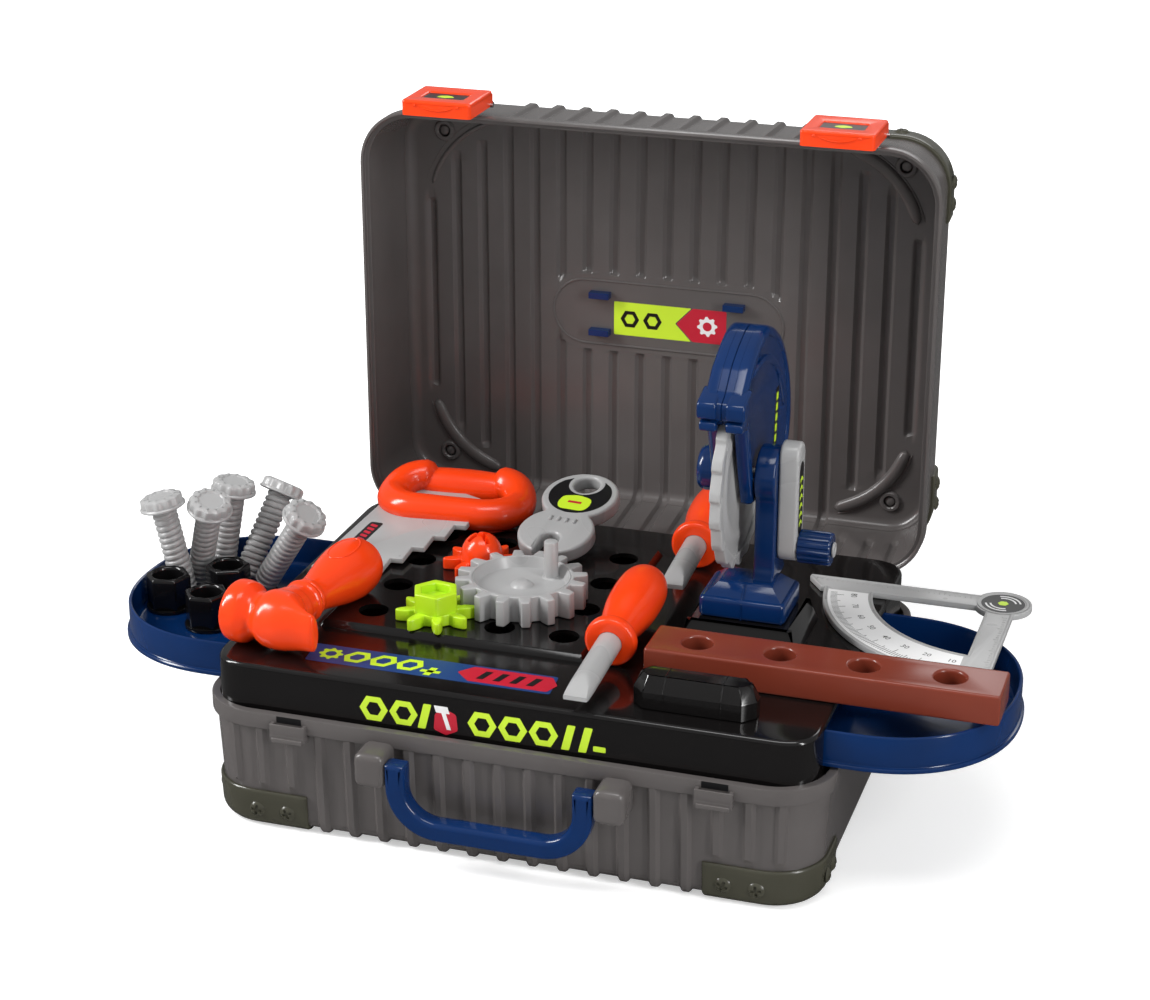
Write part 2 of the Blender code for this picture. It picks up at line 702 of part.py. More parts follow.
def build_base():
    base = case_half("base_shell", BASE_HEIGHT, -1, FULL_RIBS, (0, 0, BASE_HEIGHT))
    inner_x = WALL_X - CASE_WALL
    inner_y = WALL_Y - CASE_WALL
    corner = CASE_CORNER - CASE_WALL
    ledge = LEDGE_DEPTH + LEDGE_THICK
    floor = BASE_HEIGHT - RIB_HEIGHT - CASE_WALL
    lean = wall_inset(BASE_HEIGHT, ledge)
    cut(base, case_mesh(inner_x - lean, inner_y - lean, -ledge, -floor, corner, CASE_DRAFT - lean, CASE_EDGE))
    cut(base, case_mesh(inner_x - LEDGE_WIDTH, inner_y - LEDGE_WIDTH, CUT_OVERRUN, -ledge - CUT_OVERRUN,
                        corner - LEDGE_WIDTH))
    cut(base, case_mesh(inner_x, inner_y, CUT_OVERRUN, -LEDGE_DEPTH, corner))
    for x_sign in (-1, 1):
        add_keeper(base, x_sign)
        add_handle_boss(base, x_sign)
        add_hinge_ears(base, x_sign)
        for y_sign in (-1, 1):
            where = ("front" if y_sign < 0 else "rear") + ("_left" if x_sign < 0 else "_right")
            corner_guard("base_guard_" + where, BASE_HEIGHT, -1, x_sign, y_sign, (0, 0, BASE_HEIGHT))


def add_keeper(base, x_sign):
    """The catch that the latch hooks under."""
    depth = KEEPER_PROUD + RIB_HEIGHT
    join(base, block_mesh((KEEPER_WIDTH, depth, KEEPER_HEIGHT),
                          (x_sign * LATCH_X, -HALF_Y + RIB_HEIGHT - depth / 2, -KEEPER_HEIGHT / 2 - RIM_GAP)))
    pocket = KEEPER_WIDTH - 2 * KEEPER_PROUD
    cut(base, block_mesh((pocket, KEEPER_PROUD, KEEPER_HEIGHT / 2),
                         (x_sign * LATCH_X, -HALF_Y - KEEPER_PROUD / 4, -RIM_GAP)))


def add_handle_boss(base, x_sign):
    """A square boss with the bore for the handle's stub."""
    boss_x = HANDLE_SPAN / 2 + HANDLE_BAR / 2 + GAP + BOSS_WIDTH / 2
    depth = HANDLE_OUT + BOSS_SIZE / 2 - HANDLE_BAR / 4 + RIB_HEIGHT
    z = HANDLE_PIVOT_Z - BASE_HEIGHT
    join(base, block_mesh((BOSS_WIDTH, depth, BOSS_SIZE),
                          (x_sign * boss_x, -WALL_Y - depth / 2 + RIB_HEIGHT / 2, z), BOSS_EDGE, 2))
    bore = cone_mesh(STUB_RADIUS + BORE_CLEARANCE, STUB_RADIUS + BORE_CLEARANCE,
                     STUB_LENGTH + GAP + CUT_OVERRUN, 16)
    start = boss_x - BOSS_WIDTH / 2 - CUT_OVERRUN
    cut(base, moved(bore, at(x_sign * start, -HALF_Y - HANDLE_OUT, z), turn(x_sign * math.pi / 2, 'Y')))


def add_hinge_ears(base, x_sign):
    """Two ears that carry the hinge pin behind the rim."""
    for ear_sign in (-1, 1):
        x = x_sign * HINGE_X + ear_sign * (KNUCKLE_WIDTH / 2 + GAP + EAR_WIDTH / 2)
        loop = [(HALF_Y - RIB_HEIGHT, -EAR_FOOT), (HALF_Y - RIB_HEIGHT, -RIM_GAP),
                (HALF_Y + GAP, -RIM_GAP), (HINGE_Y - KNUCKLE_RADIUS, HINGE_RISE)]
        loop += arc(KNUCKLE_RADIUS, math.pi * 5 / 6, 0, 8, HINGE_Y, HINGE_RISE)
        loop += [(HINGE_Y + KNUCKLE_RADIUS, -EAR_FOOT / 2), (HALF_Y, -EAR_FOOT)]
        join(base, moved(plate_mesh([loop], EAR_WIDTH), at(x, 0, 0), ALONG_X))
        bore = cone_mesh(HINGE_PIN_RADIUS + BORE_CLEARANCE, HINGE_PIN_RADIUS + BORE_CLEARANCE,
                         EAR_WIDTH + 2 * CUT_OVERRUN, 12)
        cut(base, moved(bore, at(x - EAR_WIDTH / 2 - CUT_OVERRUN, HINGE_Y, HINGE_RISE),
                        turn(math.pi / 2, 'Y')))


def build_hinge_pins():
    length = KNUCKLE_WIDTH + 2 * (GAP + EAR_WIDTH)
    for x_sign, side in ((-1, "left"), (1, "right")):
        pin = moved(cone_mesh(HINGE_PIN_RADIUS, HINGE_PIN_RADIUS, length, 12),
                    at(-length / 2, 0, 0), turn(math.pi / 2, 'Y'))
        piece("hinge_pin_" + side, pin, TOOL_GREY, (x_sign * HINGE_X, HINGE_Y, HINGE_Z))


# Lid, about the hinge axis, as it lies when shut

def build_lid(hinge):
    shut = (0, -HINGE_Y, BASE_HEIGHT + RIM_GAP - HINGE_Z)
    lid = case_half("lid_shell", LID_HEIGHT, 1, LID_FRONT_RIBS, shut, hinge)
    inner_x = WALL_X - CASE_WALL
    inner_y = WALL_Y - CASE_WALL
    roof = LID_HEIGHT - RIB_HEIGHT - CASE_WALL
    cut(lid, case_mesh(inner_x, inner_y, -CUT_OVERRUN, roof, CASE_CORNER - CASE_WALL, CASE_DRAFT, CASE_EDGE))
    seat_depth = RIB_HEIGHT + BADGE_SINK + CUT_OVERRUN
    badge_seat = plate_mesh([oval(BADGE_LENGTH + 2 * BADGE_MARGIN, BADGE_HEIGHT + 2 * BADGE_MARGIN)], seat_depth)
    seat_floor = LID_HEIGHT - RIB_HEIGHT - BADGE_SINK
    cut(lid, moved(badge_seat, at(0, BADGE_Y, seat_floor + seat_depth / 2)))
    slot_size = (CLIP_WIDTH + 2 * CLIP_CLEARANCE, CLIP_THICK + 2 * CLIP_CLEARANCE, CASE_WALL + 2 * CUT_OVERRUN)
    for x, y in clip_places():
        cut(lid, block_mesh(slot_size, (x, y, seat_floor - CASE_WALL / 2)))
    for x_sign in (-1, 1):
        knuckle = moved(cone_mesh(KNUCKLE_RADIUS, KNUCKLE_RADIUS, KNUCKLE_WIDTH, 16),
                        at(x_sign * HINGE_X - KNUCKLE_WIDTH / 2, -shut[1], -shut[2]), turn(math.pi / 2, 'Y'))
        join(lid, knuckle)
        arm_depth = HINGE_OUT + RIB_HEIGHT
        join(lid, block_mesh((KNUCKLE_WIDTH, arm_depth, KNUCKLE_RADIUS * 2),
                             (x_sign * HINGE_X, HINGE_Y - arm_depth / 2, -shut[2])))
        bore = cone_mesh(HINGE_PIN_RADIUS + BORE_CLEARANCE, HINGE_PIN_RADIUS + BORE_CLEARANCE,
                         KNUCKLE_WIDTH + 2 * CUT_OVERRUN, 12)
        cut(lid, moved(bore, at(x_sign * HINGE_X - KNUCKLE_WIDTH / 2 - CUT_OVERRUN, -shut[1], -shut[2]),
                       turn(math.pi / 2, 'Y')))
        add_latch_lug(lid, x_sign)
        for y_sign in (-1, 1):
            where = ("front" if y_sign < 0 else "rear") + ("_left" if x_sign < 0 else "_right")
            corner_guard("lid_guard_" + where, LID_HEIGHT, 1, x_sign, y_sign, shut, hinge)
    build_badge(hinge, shut)
    for x_sign, side in ((-1, "left"), (1, "right")):
        build_latch(hinge, x_sign, side)


def oval(length, height):
    """A stadium outline, longer along X."""
    radius = height / 2
    straight = length / 2 - radius
    return (arc(radius, -math.pi / 2, math.pi / 2, 9, straight)
            + arc(radius, math.pi / 2, math.pi * 3 / 2, 9, -straight))


def clip_places():
    return [(x * CLIP_X, BADGE_Y + y * CLIP_Y) for x in (-1, 1) for y in (-1, 1)]


def build_badge(hinge, shut):
    """The blue plate clipped to the outside of the lid through four slots."""
    plate = moved(plate_mesh([oval(BADGE_LENGTH, BADGE_HEIGHT)], BADGE_THICK),
                  at(0, BADGE_Y, LID_HEIGHT - RIB_HEIGHT - BADGE_SINK + GAP + BADGE_THICK / 2))
    badge = piece("lid_badge_plate", plate, BLUE, shut, parent=hinge)
    for x, y in clip_places():
        height = CLIP_HEIGHT + BADGE_THICK / 2
        z = LID_HEIGHT - RIB_HEIGHT - BADGE_SINK + GAP + BADGE_THICK / 2 - height / 2
        join(badge, block_mesh((CLIP_WIDTH, CLIP_THICK, height), (x, y, z)))


def add_latch_lug(lid, x_sign):
    """The lug on the lid's front wall that carries the latch's pin."""
    y = -HALF_Y - LATCH_PIVOT_OUT
    reach = LATCH_PIVOT_OUT + RIB_HEIGHT + CASE_WALL / 2
    z = LATCH_PIVOT_RISE
    lean = wall_inset(LID_HEIGHT, z)
    join(lid, block_mesh((LUG_WIDTH, reach + lean, 2 * LUG_RADIUS),
                         (x_sign * LATCH_X, y + (reach + lean) / 2, z)))
    join(lid, moved(cone_mesh(LUG_RADIUS, LUG_RADIUS, LUG_WIDTH, 12),
                    at(x_sign * LATCH_X - LUG_WIDTH / 2, y, z), turn(math.pi / 2, 'Y')))
    bore = cone_mesh(LATCH_PIN_RADIUS + BORE_CLEARANCE, LATCH_PIN_RADIUS + BORE_CLEARANCE,
                     LUG_WIDTH + 2 * CUT_OVERRUN, 12)
    cut(lid, moved(bore, at(x_sign * LATCH_X - LUG_WIDTH / 2 - CUT_OVERRUN, y, z), turn(math.pi / 2, 'Y')))


def build_latch(hinge, x_sign, side):
    """A hooked cap that swings on a pin and snaps under the keeper."""
    back = LATCH_PIVOT_OUT - LATCH_WALL_GAP
    front = back - LATCH_THICK
    height = LATCH_ABOVE + LATCH_BELOW
    pivot = (x_sign * LATCH_X, -HALF_Y - LATCH_PIVOT_OUT - HINGE_Y,
             BASE_HEIGHT + RIM_GAP + LATCH_PIVOT_RISE - HINGE_Z)
    body = block_mesh((LATCH_WIDTH, LATCH_THICK, height),
                      (0, (front + back) / 2, (LATCH_ABOVE - LATCH_BELOW) / 2), LATCH_EDGE, 2)
    latch = piece("latch_" + side, body, ORANGE, pivot, parent=hinge)
    hollow_thick = LATCH_THICK - LATCH_WALL + CUT_OVERRUN
    hollow = (LATCH_WIDTH - 2 * LATCH_WALL, hollow_thick, height - LATCH_WALL + CUT_OVERRUN)
    cut(latch, block_mesh(hollow, (0, back + CUT_OVERRUN - hollow_thick / 2,
                                   -LATCH_BELOW + LATCH_WALL + hollow[2] / 2)))
    window = (LATCH_WIDTH * LATCH_WINDOW_SHARES[0], LATCH_WALL + 2 * CUT_OVERRUN,
              height * LATCH_WINDOW_SHARES[1])
    cut(latch, block_mesh(window, (0, front + LATCH_WALL / 2, (LATCH_ABOVE - LATCH_BELOW) / 2)))
    pin_radius = LATCH_PIN_RADIUS
    bore = cone_mesh(pin_radius + BORE_CLEARANCE, pin_radius + BORE_CLEARANCE,
                     LATCH_WIDTH + 2 * CUT_OVERRUN, 12)
    cut(latch, moved(bore, at(-LATCH_WIDTH / 2 - CUT_OVERRUN, 0, 0), turn(math.pi / 2, 'Y')))
    pin = cone_mesh(pin_radius, pin_radius, LATCH_WIDTH, 12)
    piece("latch_pin_" + side, moved(pin, at(-LATCH_WIDTH / 2, 0, 0), turn(math.pi / 2, 'Y')),
          TOOL_GREY, pivot, parent=hinge)


# Carry handle

def build_handle():
    """A U-shaped bail that hangs in front and turns on two stubs."""
    outer = HANDLE_SPAN / 2 + HANDLE_BAR / 2
    inner = HANDLE_SPAN / 2 - HANDLE_BAR / 2
    low = -HANDLE_DROP - HANDLE_BAR / 2
    bend = HANDLE_BEND + HANDLE_BAR / 2
    small = HANDLE_BEND - HANDLE_BAR / 2
    top = HANDLE_BAR / 2
    loop = [(-outer, top)]
    loop += arc(bend, math.pi, math.pi * 3 / 2, 6, -outer + bend, low + bend)
    loop += arc(bend, math.pi * 3 / 2, TURN, 6, outer - bend, low + bend)
    loop += [(outer, top), (inner, top)]
    loop += arc(small, TURN, math.pi * 3 / 2, 6, inner - small, low + HANDLE_BAR + small)
    loop += arc(small, math.pi * 3 / 2, math.pi, 6, -inner + small, low + HANDLE_BAR + small)
    loop += [(-inner, top)]
    bail = moved(plate_mesh([loop], HANDLE_BAR, HANDLE_EDGE), turn(math.pi / 2, 'X'))
    handle = piece("carry_handle", bail, BLUE, (0, -HALF_Y - HANDLE_OUT, HANDLE_PIVOT_Z))
    for x_sign in (-1, 1):
        stub = cone_mesh(STUB_RADIUS, STUB_RADIUS, STUB_LENGTH + HANDLE_BAR / 2, 16)
        join(handle, moved(stub, at(x_sign * HANDLE_SPAN / 2, 0, 0), turn(x_sign * math.pi / 2, 'Y')))


# Deck

def frustum_mesh(width, depth, height, flare, low):
    """A block whose foot spreads by the flare on every side."""
    bm = bmesh.new()
    bmesh.ops.create_cube(bm, size=1)
    for vert in bm.verts:
        spread = flare if vert.co.z < 0 else 0
        vert.co.x *= width + 2 * spread
        vert.co.y *= depth + 2 * spread
        vert.co.z = low + height * (vert.co.z > 0)
    return to_mesh(bm)


def build_deck():
    """The work deck, a hollow black moulding that sits on the ledge of the base."""
    deck = piece("work_deck", case_mesh(DECK_WIDTH / 2, DECK_DEPTH / 2, DECK_FOOT, DECK_TOP,
                                        DECK_CORNER, 0, DECK_EDGE), DECK_BLACK)
    plate_width = PEG_PLATE_RIGHT - PEG_PLATE_LEFT
    plate_depth = PEG_PLATE_BACK - PEG_PLATE_FRONT
    plate_x = (PEG_PLATE_LEFT + PEG_PLATE_RIGHT) / 2
    plate_y = (PEG_PLATE_FRONT + PEG_PLATE_BACK) / 2
    plate = frustum_mesh(plate_width - 2 * PEG_PLATE_RISE, plate_depth - 2 * PEG_PLATE_RISE,
                         PEG_PLATE_RISE + DECK_WALL / 2, PEG_PLATE_RISE, DECK_TOP - DECK_WALL / 2)
    join(deck, moved(plate, at(plate_x, plate_y, 0)))
    pedestal = frustum_mesh(PEDESTAL_TOP_WIDTH, PEDESTAL_TOP_DEPTH, PEDESTAL_HEIGHT + DECK_WALL / 2,
                            PEDESTAL_FLARE, DECK_TOP - DECK_WALL / 2)
    join(deck, moved(pedestal, at(SAW_X, SAW_Y, 0)))
    cut(deck, case_mesh(DECK_WIDTH / 2 - DECK_WALL, DECK_DEPTH / 2 - DECK_WALL, DECK_FOOT - CUT_OVERRUN,
                        DECK_TOP - DECK_WALL, DECK_CORNER - DECK_WALL))
    under_plate = block_mesh((plate_width - 2 * PEG_PLATE_RISE - 2 * DECK_WALL,
                              plate_depth - 2 * PEG_PLATE_RISE - 2 * DECK_WALL, PEG_PLATE_RISE + CUT_OVERRUN),
                             (plate_x, plate_y, PEG_PLATE_TOP - DECK_WALL - (PEG_PLATE_RISE + CUT_OVERRUN) / 2))
    cut(deck, under_plate)
    under_saw = PEDESTAL_HEIGHT + CUT_OVERRUN
    cut(deck, block_mesh((PEDESTAL_TOP_WIDTH - 2 * DECK_WALL, PEDESTAL_TOP_DEPTH - 2 * DECK_WALL, under_saw),
                         (SAW_X, SAW_Y, DECK_TOP + PEDESTAL_HEIGHT - DECK_WALL - under_saw / 2)))
    holes = []
    for column in range(PEG_COUNT):
        for row in range(PEG_COUNT):
            hole = cone_mesh(PEG_HOLE_RADIUS, PEG_HOLE_RADIUS, DECK_WALL + 2 * CUT_OVERRUN, 16)
            holes.append(moved(hole, at(PEG_FIRST_X + column * PEG_PITCH, PEG_FIRST_Y + row * PEG_PITCH,
                                        PEG_PLATE_TOP - DECK_WALL - CUT_OVERRUN)))
    cut(deck, merged(holes))
    slot_depth = 2 * (TRAY_HALF_DEPTH + TRAY_FOOT_LIP + TRAY_SLOT_CLEARANCE)
    slot_low = BASE_HEIGHT + TRAY_SLOT_SILL
    slot_high = DECK_TOP - DECK_WALL
    slots = [block_mesh((DECK_WALL + 2 * CUT_OVERRUN, slot_depth, slot_high - slot_low),
                        (x_sign * (DECK_WIDTH - DECK_WALL) / 2, TRAY_CENTRE_Y, (slot_low + slot_high) / 2))
             for x_sign in (-1, 1)]
    cut(deck, merged(slots))


def build_clamp_bar():
    """The faceted black bar in front of the board."""
    jaw = frustum_mesh(JAW_LENGTH - 2 * JAW_CHAMFER, JAW_DEPTH - JAW_CHAMFER, JAW_HEIGHT / 2,
                       JAW_CHAMFER / 2, JAW_HEIGHT / 2)
    bar = piece("clamp_bar", jaw, DECK_BLACK, (JAW_X, JAW_Y, DECK_TOP + GAP))
    join(bar, block_mesh((JAW_LENGTH - JAW_CHAMFER, JAW_DEPTH, JAW_HEIGHT / 2 + GAP),
                         (0, 0, JAW_HEIGHT / 4 + GAP / 2), JAW_CHAMFER / 4))


# Side trays

def tray_loop(offset):
    """The tray's plan for the right side, offset inwards: straight, then a broad curve."""
    start = DECK_WIDTH / 2 - TRAY_TONGUE + offset
    bend = DECK_WIDTH / 2 + TRAY_STRAIGHT
    reach = TRAY_REACH - TRAY_STRAIGHT - offset
    half = TRAY_HALF_DEPTH - offset
    points = [(start, half)]
    for i in range(TRAY_CURVE_POINTS + 1):
        angle = math.pi / 2 - math.pi * i / TRAY_CURVE_POINTS
        cos, sin = math.cos(angle), math.sin(angle)
        power = 2 / TRAY_CURVE_POWER
        points.append((bend + reach * abs(cos) ** power, math.copysign(half * abs(sin) ** power, sin)))
    points.append((start, -half))
    return points


def build_tray(x_sign, side):
    """A shallow blue tray that slides out from under the deck."""
    body = plate_mesh([tray_loop(0)], TRAY_HEIGHT)
    foot = plate_mesh([tray_loop(-TRAY_FOOT_LIP)], TRAY_FOOT_LIP_HEIGHT)
    hollow = plate_mesh([tray_loop(TRAY_WALL)], TRAY_HEIGHT)
    mirror = Matrix.Identity(4) if x_sign > 0 else turn(math.pi, 'Z')
    tray = piece("side_tray_" + side, moved(body, at(0, 0, TRAY_HEIGHT / 2), mirror), BLUE,
                 (0, TRAY_CENTRE_Y, TRAY_FOOT))
    join(tray, moved(foot, at(0, 0, TRAY_FOOT_LIP_HEIGHT / 2), mirror))
    cut(tray, moved(hollow, at(0, 0, TRAY_HEIGHT / 2 + TRAY_WALL), mirror))


# Chop saw, about its axle

def head_loop(shares):
    height = BLADE_RADIUS + HEAD_RISE
    return [(y * height, z * height) for y, z in shares]


def build_saw_head(x_sign, side):
    """Half of the blue guard, hollowed for the blade."""
    width = HEAD_HALF_WIDTH if x_sign > 0 else HEAD_HALF_WIDTH - GAP
    thick = width - GAP / 2
    half = moved(plate_mesh([head_loop(HEAD_SHARES)], thick, HEAD_EDGE), at(x_sign * (GAP + thick) / 2, 0, 0),
                 ALONG_X)
    head = piece("saw_head_" + side, half, BLUE, SAW_AXLE)
    lip_start = 2 * HEAD_EDGE
    lip_thick = thick + HEAD_LIP_WIDTH - lip_start
    join(head, moved(plate_mesh([head_loop(LIP_SHARES)], lip_thick),
                     at(x_sign * (lip_start + lip_thick / 2), 0, 0), ALONG_X))
    if x_sign < 0:
        boss = cone_mesh(LEFT_BOSS_RADIUS, LEFT_BOSS_RADIUS * 0.9, LEFT_BOSS_WIDTH + HEAD_EDGE)
        join(head, moved(boss, at(-width + HEAD_EDGE, 0, 0), turn(-math.pi / 2, 'Y')))
    pocket_half = BLADE_THICK / 2 + BLADE_CLEARANCE
    pocket = cone_mesh(BLADE_RADIUS + BLADE_CLEARANCE, BLADE_RADIUS + BLADE_CLEARANCE,
                       pocket_half + CUT_OVERRUN, 36)
    cut(head, moved(pocket, at(-x_sign * CUT_OVERRUN, 0, 0), turn(x_sign * math.pi / 2, 'Y')))
    bore = cone_mesh(AXLE_RADIUS + BORE_CLEARANCE, AXLE_RADIUS + BORE_CLEARANCE,
                     HEAD_HALF_WIDTH + LEFT_BOSS_WIDTH, 16)
    cut(head, moved(bore, turn(x_sign * math.pi / 2, 'Y')))


def build_saw():
    block = block_mesh((SAW_BLOCK_WIDTH, SAW_BLOCK_DEPTH, SAW_BLOCK_HEIGHT), (0, 0, SAW_BLOCK_HEIGHT / 2),
                       SAW_BLOCK_EDGE, 2)
    base = piece("saw_base", block, BLUE, (SAW_X, SAW_Y, SAW_FOOT))
    axle_z = SAW_BLOCK_HEIGHT + SAW_AXLE_RISE
    column_x = SAW_AXLE_X + COLUMN_X + COLUMN_WIDTH / 2
    column_low = SAW_BLOCK_HEIGHT - SAW_BLOCK_EDGE
    join(base, block_mesh((COLUMN_WIDTH, COLUMN_DEPTH, axle_z - column_low),
                          (column_x, SAW_AXLE_Y, (axle_z + column_low) / 2)))
    join(base, moved(cone_mesh(BOSS_RADIUS, BOSS_RADIUS, COLUMN_WIDTH, 28),
                     at(column_x - COLUMN_WIDTH / 2, SAW_AXLE_Y, axle_z), turn(math.pi / 2, 'Y')))
    cut(base, moved(cone_mesh(AXLE_RADIUS + BORE_CLEARANCE, AXLE_RADIUS + BORE_CLEARANCE,
                              COLUMN_WIDTH + 2 * CUT_OVERRUN, 16),
                    at(column_x - COLUMN_WIDTH / 2 - CUT_OVERRUN, SAW_AXLE_Y, axle_z), turn(math.pi / 2, 'Y')))
    build_saw_head(-1, "left")
    build_saw_head(1, "right")
    build_blade()
    axle_start = -HEAD_HALF_WIDTH - LEFT_BOSS_WIDTH / 2
    axle_end = CRANK_X + CRANK_SEAT_DEPTH - GAP
    piece("saw_axle", moved(cone_mesh(AXLE_RADIUS, AXLE_RADIUS, axle_end - axle_start, 16),
                            at(axle_start, 0, 0), turn(math.pi / 2, 'Y')), TOOL_GREY, SAW_AXLE)
    build_crank()


def blade_loop():
    """Raked teeth: each rises steadily to its tip and drops straight back."""
    points = []
    for tooth in range(BLADE_TEETH):
        start = TURN * tooth / BLADE_TEETH
        points.append(((BLADE_RADIUS - BLADE_TOOTH), start))
        for share in BLADE_TIP_SHARES:
            points.append((BLADE_RADIUS, start + TURN * share / BLADE_TEETH))
    return [(r * math.cos(a), r * math.sin(a)) for r, a in points]


def build_blade():
    """The toothed rim is thicker than the disc inside it."""
    bore = AXLE_RADIUS + BORE_CLEARANCE
    rim = plate_mesh([blade_loop(), circle(BLADE_DISC_RADIUS, count=36)], BLADE_THICK)
    blade = piece("saw_blade", moved(rim, ALONG_X), TOOL_GREY, SAW_AXLE)
    disc = plate_mesh([circle(BLADE_DISC_RADIUS + BLADE_TOOTH / 2, count=36), circle(bore, count=16)],
                      BLADE_DISC_THICK)
    join(blade, moved(disc, ALONG_X))


def build_crank():
    """The crank arm, its knob and the pin that the knob turns on."""
    loop = (arc(CRANK_HALF_WIDTH, 0, math.pi, 10, 0, CRANK_TOP)
            + arc(CRANK_HALF_WIDTH, math.pi, TURN, 10, 0, -CRANK_THROW))
    arm = moved(plate_mesh([loop], CRANK_THICK, CRANK_EDGE), at(CRANK_X + CRANK_THICK / 2, 0, 0), ALONG_X)
    crank = piece("crank_arm", arm, TOOL_GREY, SAW_AXLE)
    cut(crank, moved(cone_mesh(AXLE_RADIUS + BORE_CLEARANCE, AXLE_RADIUS + BORE_CLEARANCE,
                               CRANK_SEAT_DEPTH + CUT_OVERRUN, 16),
                     at(CRANK_X - CUT_OVERRUN, 0, 0), turn(math.pi / 2, 'Y')))
    cut(crank, moved(cone_mesh(KNOB_PIN_RADIUS + BORE_CLEARANCE, KNOB_PIN_RADIUS + BORE_CLEARANCE,
                               CRANK_SEAT_DEPTH + CUT_OVERRUN, 12),
                     at(CRANK_X + CRANK_THICK - CRANK_SEAT_DEPTH, 0, -CRANK_THROW), turn(math.pi / 2, 'Y')))
    knob_place = SAW_AXLE + Vector((0, 0, -CRANK_THROW))
    ridges = []
    for i in range(2 * KNOB_RIDGES):
        radius = KNOB_RADIUS - KNOB_RIDGE * (i % 2)
        angle = TURN * i / (2 * KNOB_RIDGES)
        ridges.append((radius * math.cos(angle), radius * math.sin(angle)))
    bore = circle(KNOB_PIN_RADIUS + BORE_CLEARANCE, count=12)
    knob = moved(plate_mesh([ridges, bore], KNOB_LENGTH), at(KNOB_X + KNOB_LENGTH / 2, 0, 0), ALONG_X)
    piece("crank_knob", knob, BLUE, knob_place)
    pin_start = CRANK_X + CRANK_THICK - CRANK_SEAT_DEPTH + GAP
    pin_end = KNOB_X + KNOB_LENGTH + GAP
    pin = cone_mesh(KNOB_PIN_RADIUS, KNOB_PIN_RADIUS, pin_end - pin_start + KNOB_CAP_THICK / 2, 12)
    knob_pin = piece("knob_pin", moved(pin, at(pin_start, 0, 0), turn(math.pi / 2, 'Y')), TOOL_GREY, knob_place)
    join(knob_pin, moved(cone_mesh(KNOB_CAP_RADIUS, KNOB_CAP_RADIUS, KNOB_CAP_THICK, 12),
                         at(pin_end, 0, 0), turn(math.pi / 2, 'Y')))


# Gears

def gear_loop(teeth, phase):
    """Straight-sided rack-like teeth drawn as points along an involute-like flank."""
    pitch = GEAR_MODULE * teeth / 2
    tip = pitch + GEAR_ADDENDUM_SHARE * GEAR_MODULE
    root = pitch - GEAR_DEDENDUM_SHARE * GEAR_MODULE
    pressure = math.pi * GEAR_PRESSURE_SHARE
    base = pitch * math.cos(pressure)
    half = (math.pi * GEAR_MODULE / 2 - GEAR_BACKLASH) / pitch / 2

    def involute(radius):
        if radius <= base:
            return 0
        angle = math.acos(base / radius)
        return math.tan(angle) - angle

    points = []
    flank = [max(root, base * 1.001), pitch, (pitch + tip) / 2, tip]
    for tooth in range(teeth):
        middle = TURN * (tooth + phase) / teeth
        edge = [(radius, half + involute(pitch) - involute(radius)) for radius in flank]
        if root < base:
            edge.insert(0, (root, edge[0][1]))
        points += [(radius, middle - angle) for radius, angle in edge]
        points += [(radius, middle + angle) for radius, angle in reversed(edge)]
    return [(r * math.cos(a), r * math.sin(a)) for r, a in points]


def add_stem(gear):
    """The short stem that plugs into a peg hole."""
    radius = PEG_HOLE_RADIUS - STEM_CLEARANCE
    join(gear, moved(cone_mesh(radius, radius, STEM_LENGTH + PINION_THICK / 2, 20), at(0, 0, -STEM_LENGTH)))


def build_gears():
    disc = moved(plate_mesh([gear_loop(GEAR_TEETH, 0)], GEAR_THICK), at(0, 0, GEAR_THICK / 2))
    gear = piece("crank_gear", disc, TOOL_GREY, GEAR_CENTRE)
    cut(gear, moved(cone_mesh(GEAR_DISH_RADIUS, GEAR_DISH_RADIUS + GEAR_DISH / 2, GEAR_DISH + CUT_OVERRUN, 32),
                    at(0, 0, GEAR_THICK - GEAR_DISH)))
    floor = GEAR_THICK - GEAR_DISH
    join(gear, moved(cone_mesh(GEAR_HUB_RADIUS, GEAR_HUB_RADIUS / 2, GEAR_HUB_HEIGHT + GEAR_DISH / 2, 16),
                     at(0, 0, floor - GEAR_DISH / 2)))
    angle = TURN * CRANK_PEG_TURN_SHARE
    join(gear, moved(cone_mesh(CRANK_PEG_RADIUS, CRANK_PEG_RADIUS * 0.95, CRANK_PEG_HEIGHT + GEAR_DISH / 2, 16),
                     at(CRANK_PEG_OFFSET * math.cos(angle), CRANK_PEG_OFFSET * math.sin(angle),
                        floor - GEAR_DISH / 2)))
    add_stem(gear)
    build_lime_gear()
    build_dome_gear()


def pinion(name, material, y_step):
    """A small gear in the hole diagonal to the large one, a tooth turned into its gap."""
    direction = math.atan2(y_step, -1) + math.pi
    facing = direction / TURN * PINION_TEETH
    gear_facing = (direction + math.pi) / TURN * GEAR_TEETH
    phase = facing + (0.5 if abs(gear_facing - round(gear_facing)) < 0.25 else 0)
    disc = moved(plate_mesh([gear_loop(PINION_TEETH, phase)], PINION_THICK), at(0, 0, PINION_THICK / 2))
    gear = piece(name, disc, material, GEAR_CENTRE + Vector((-PEG_PITCH, y_step * PEG_PITCH, 0)))
    add_stem(gear)
    return gear


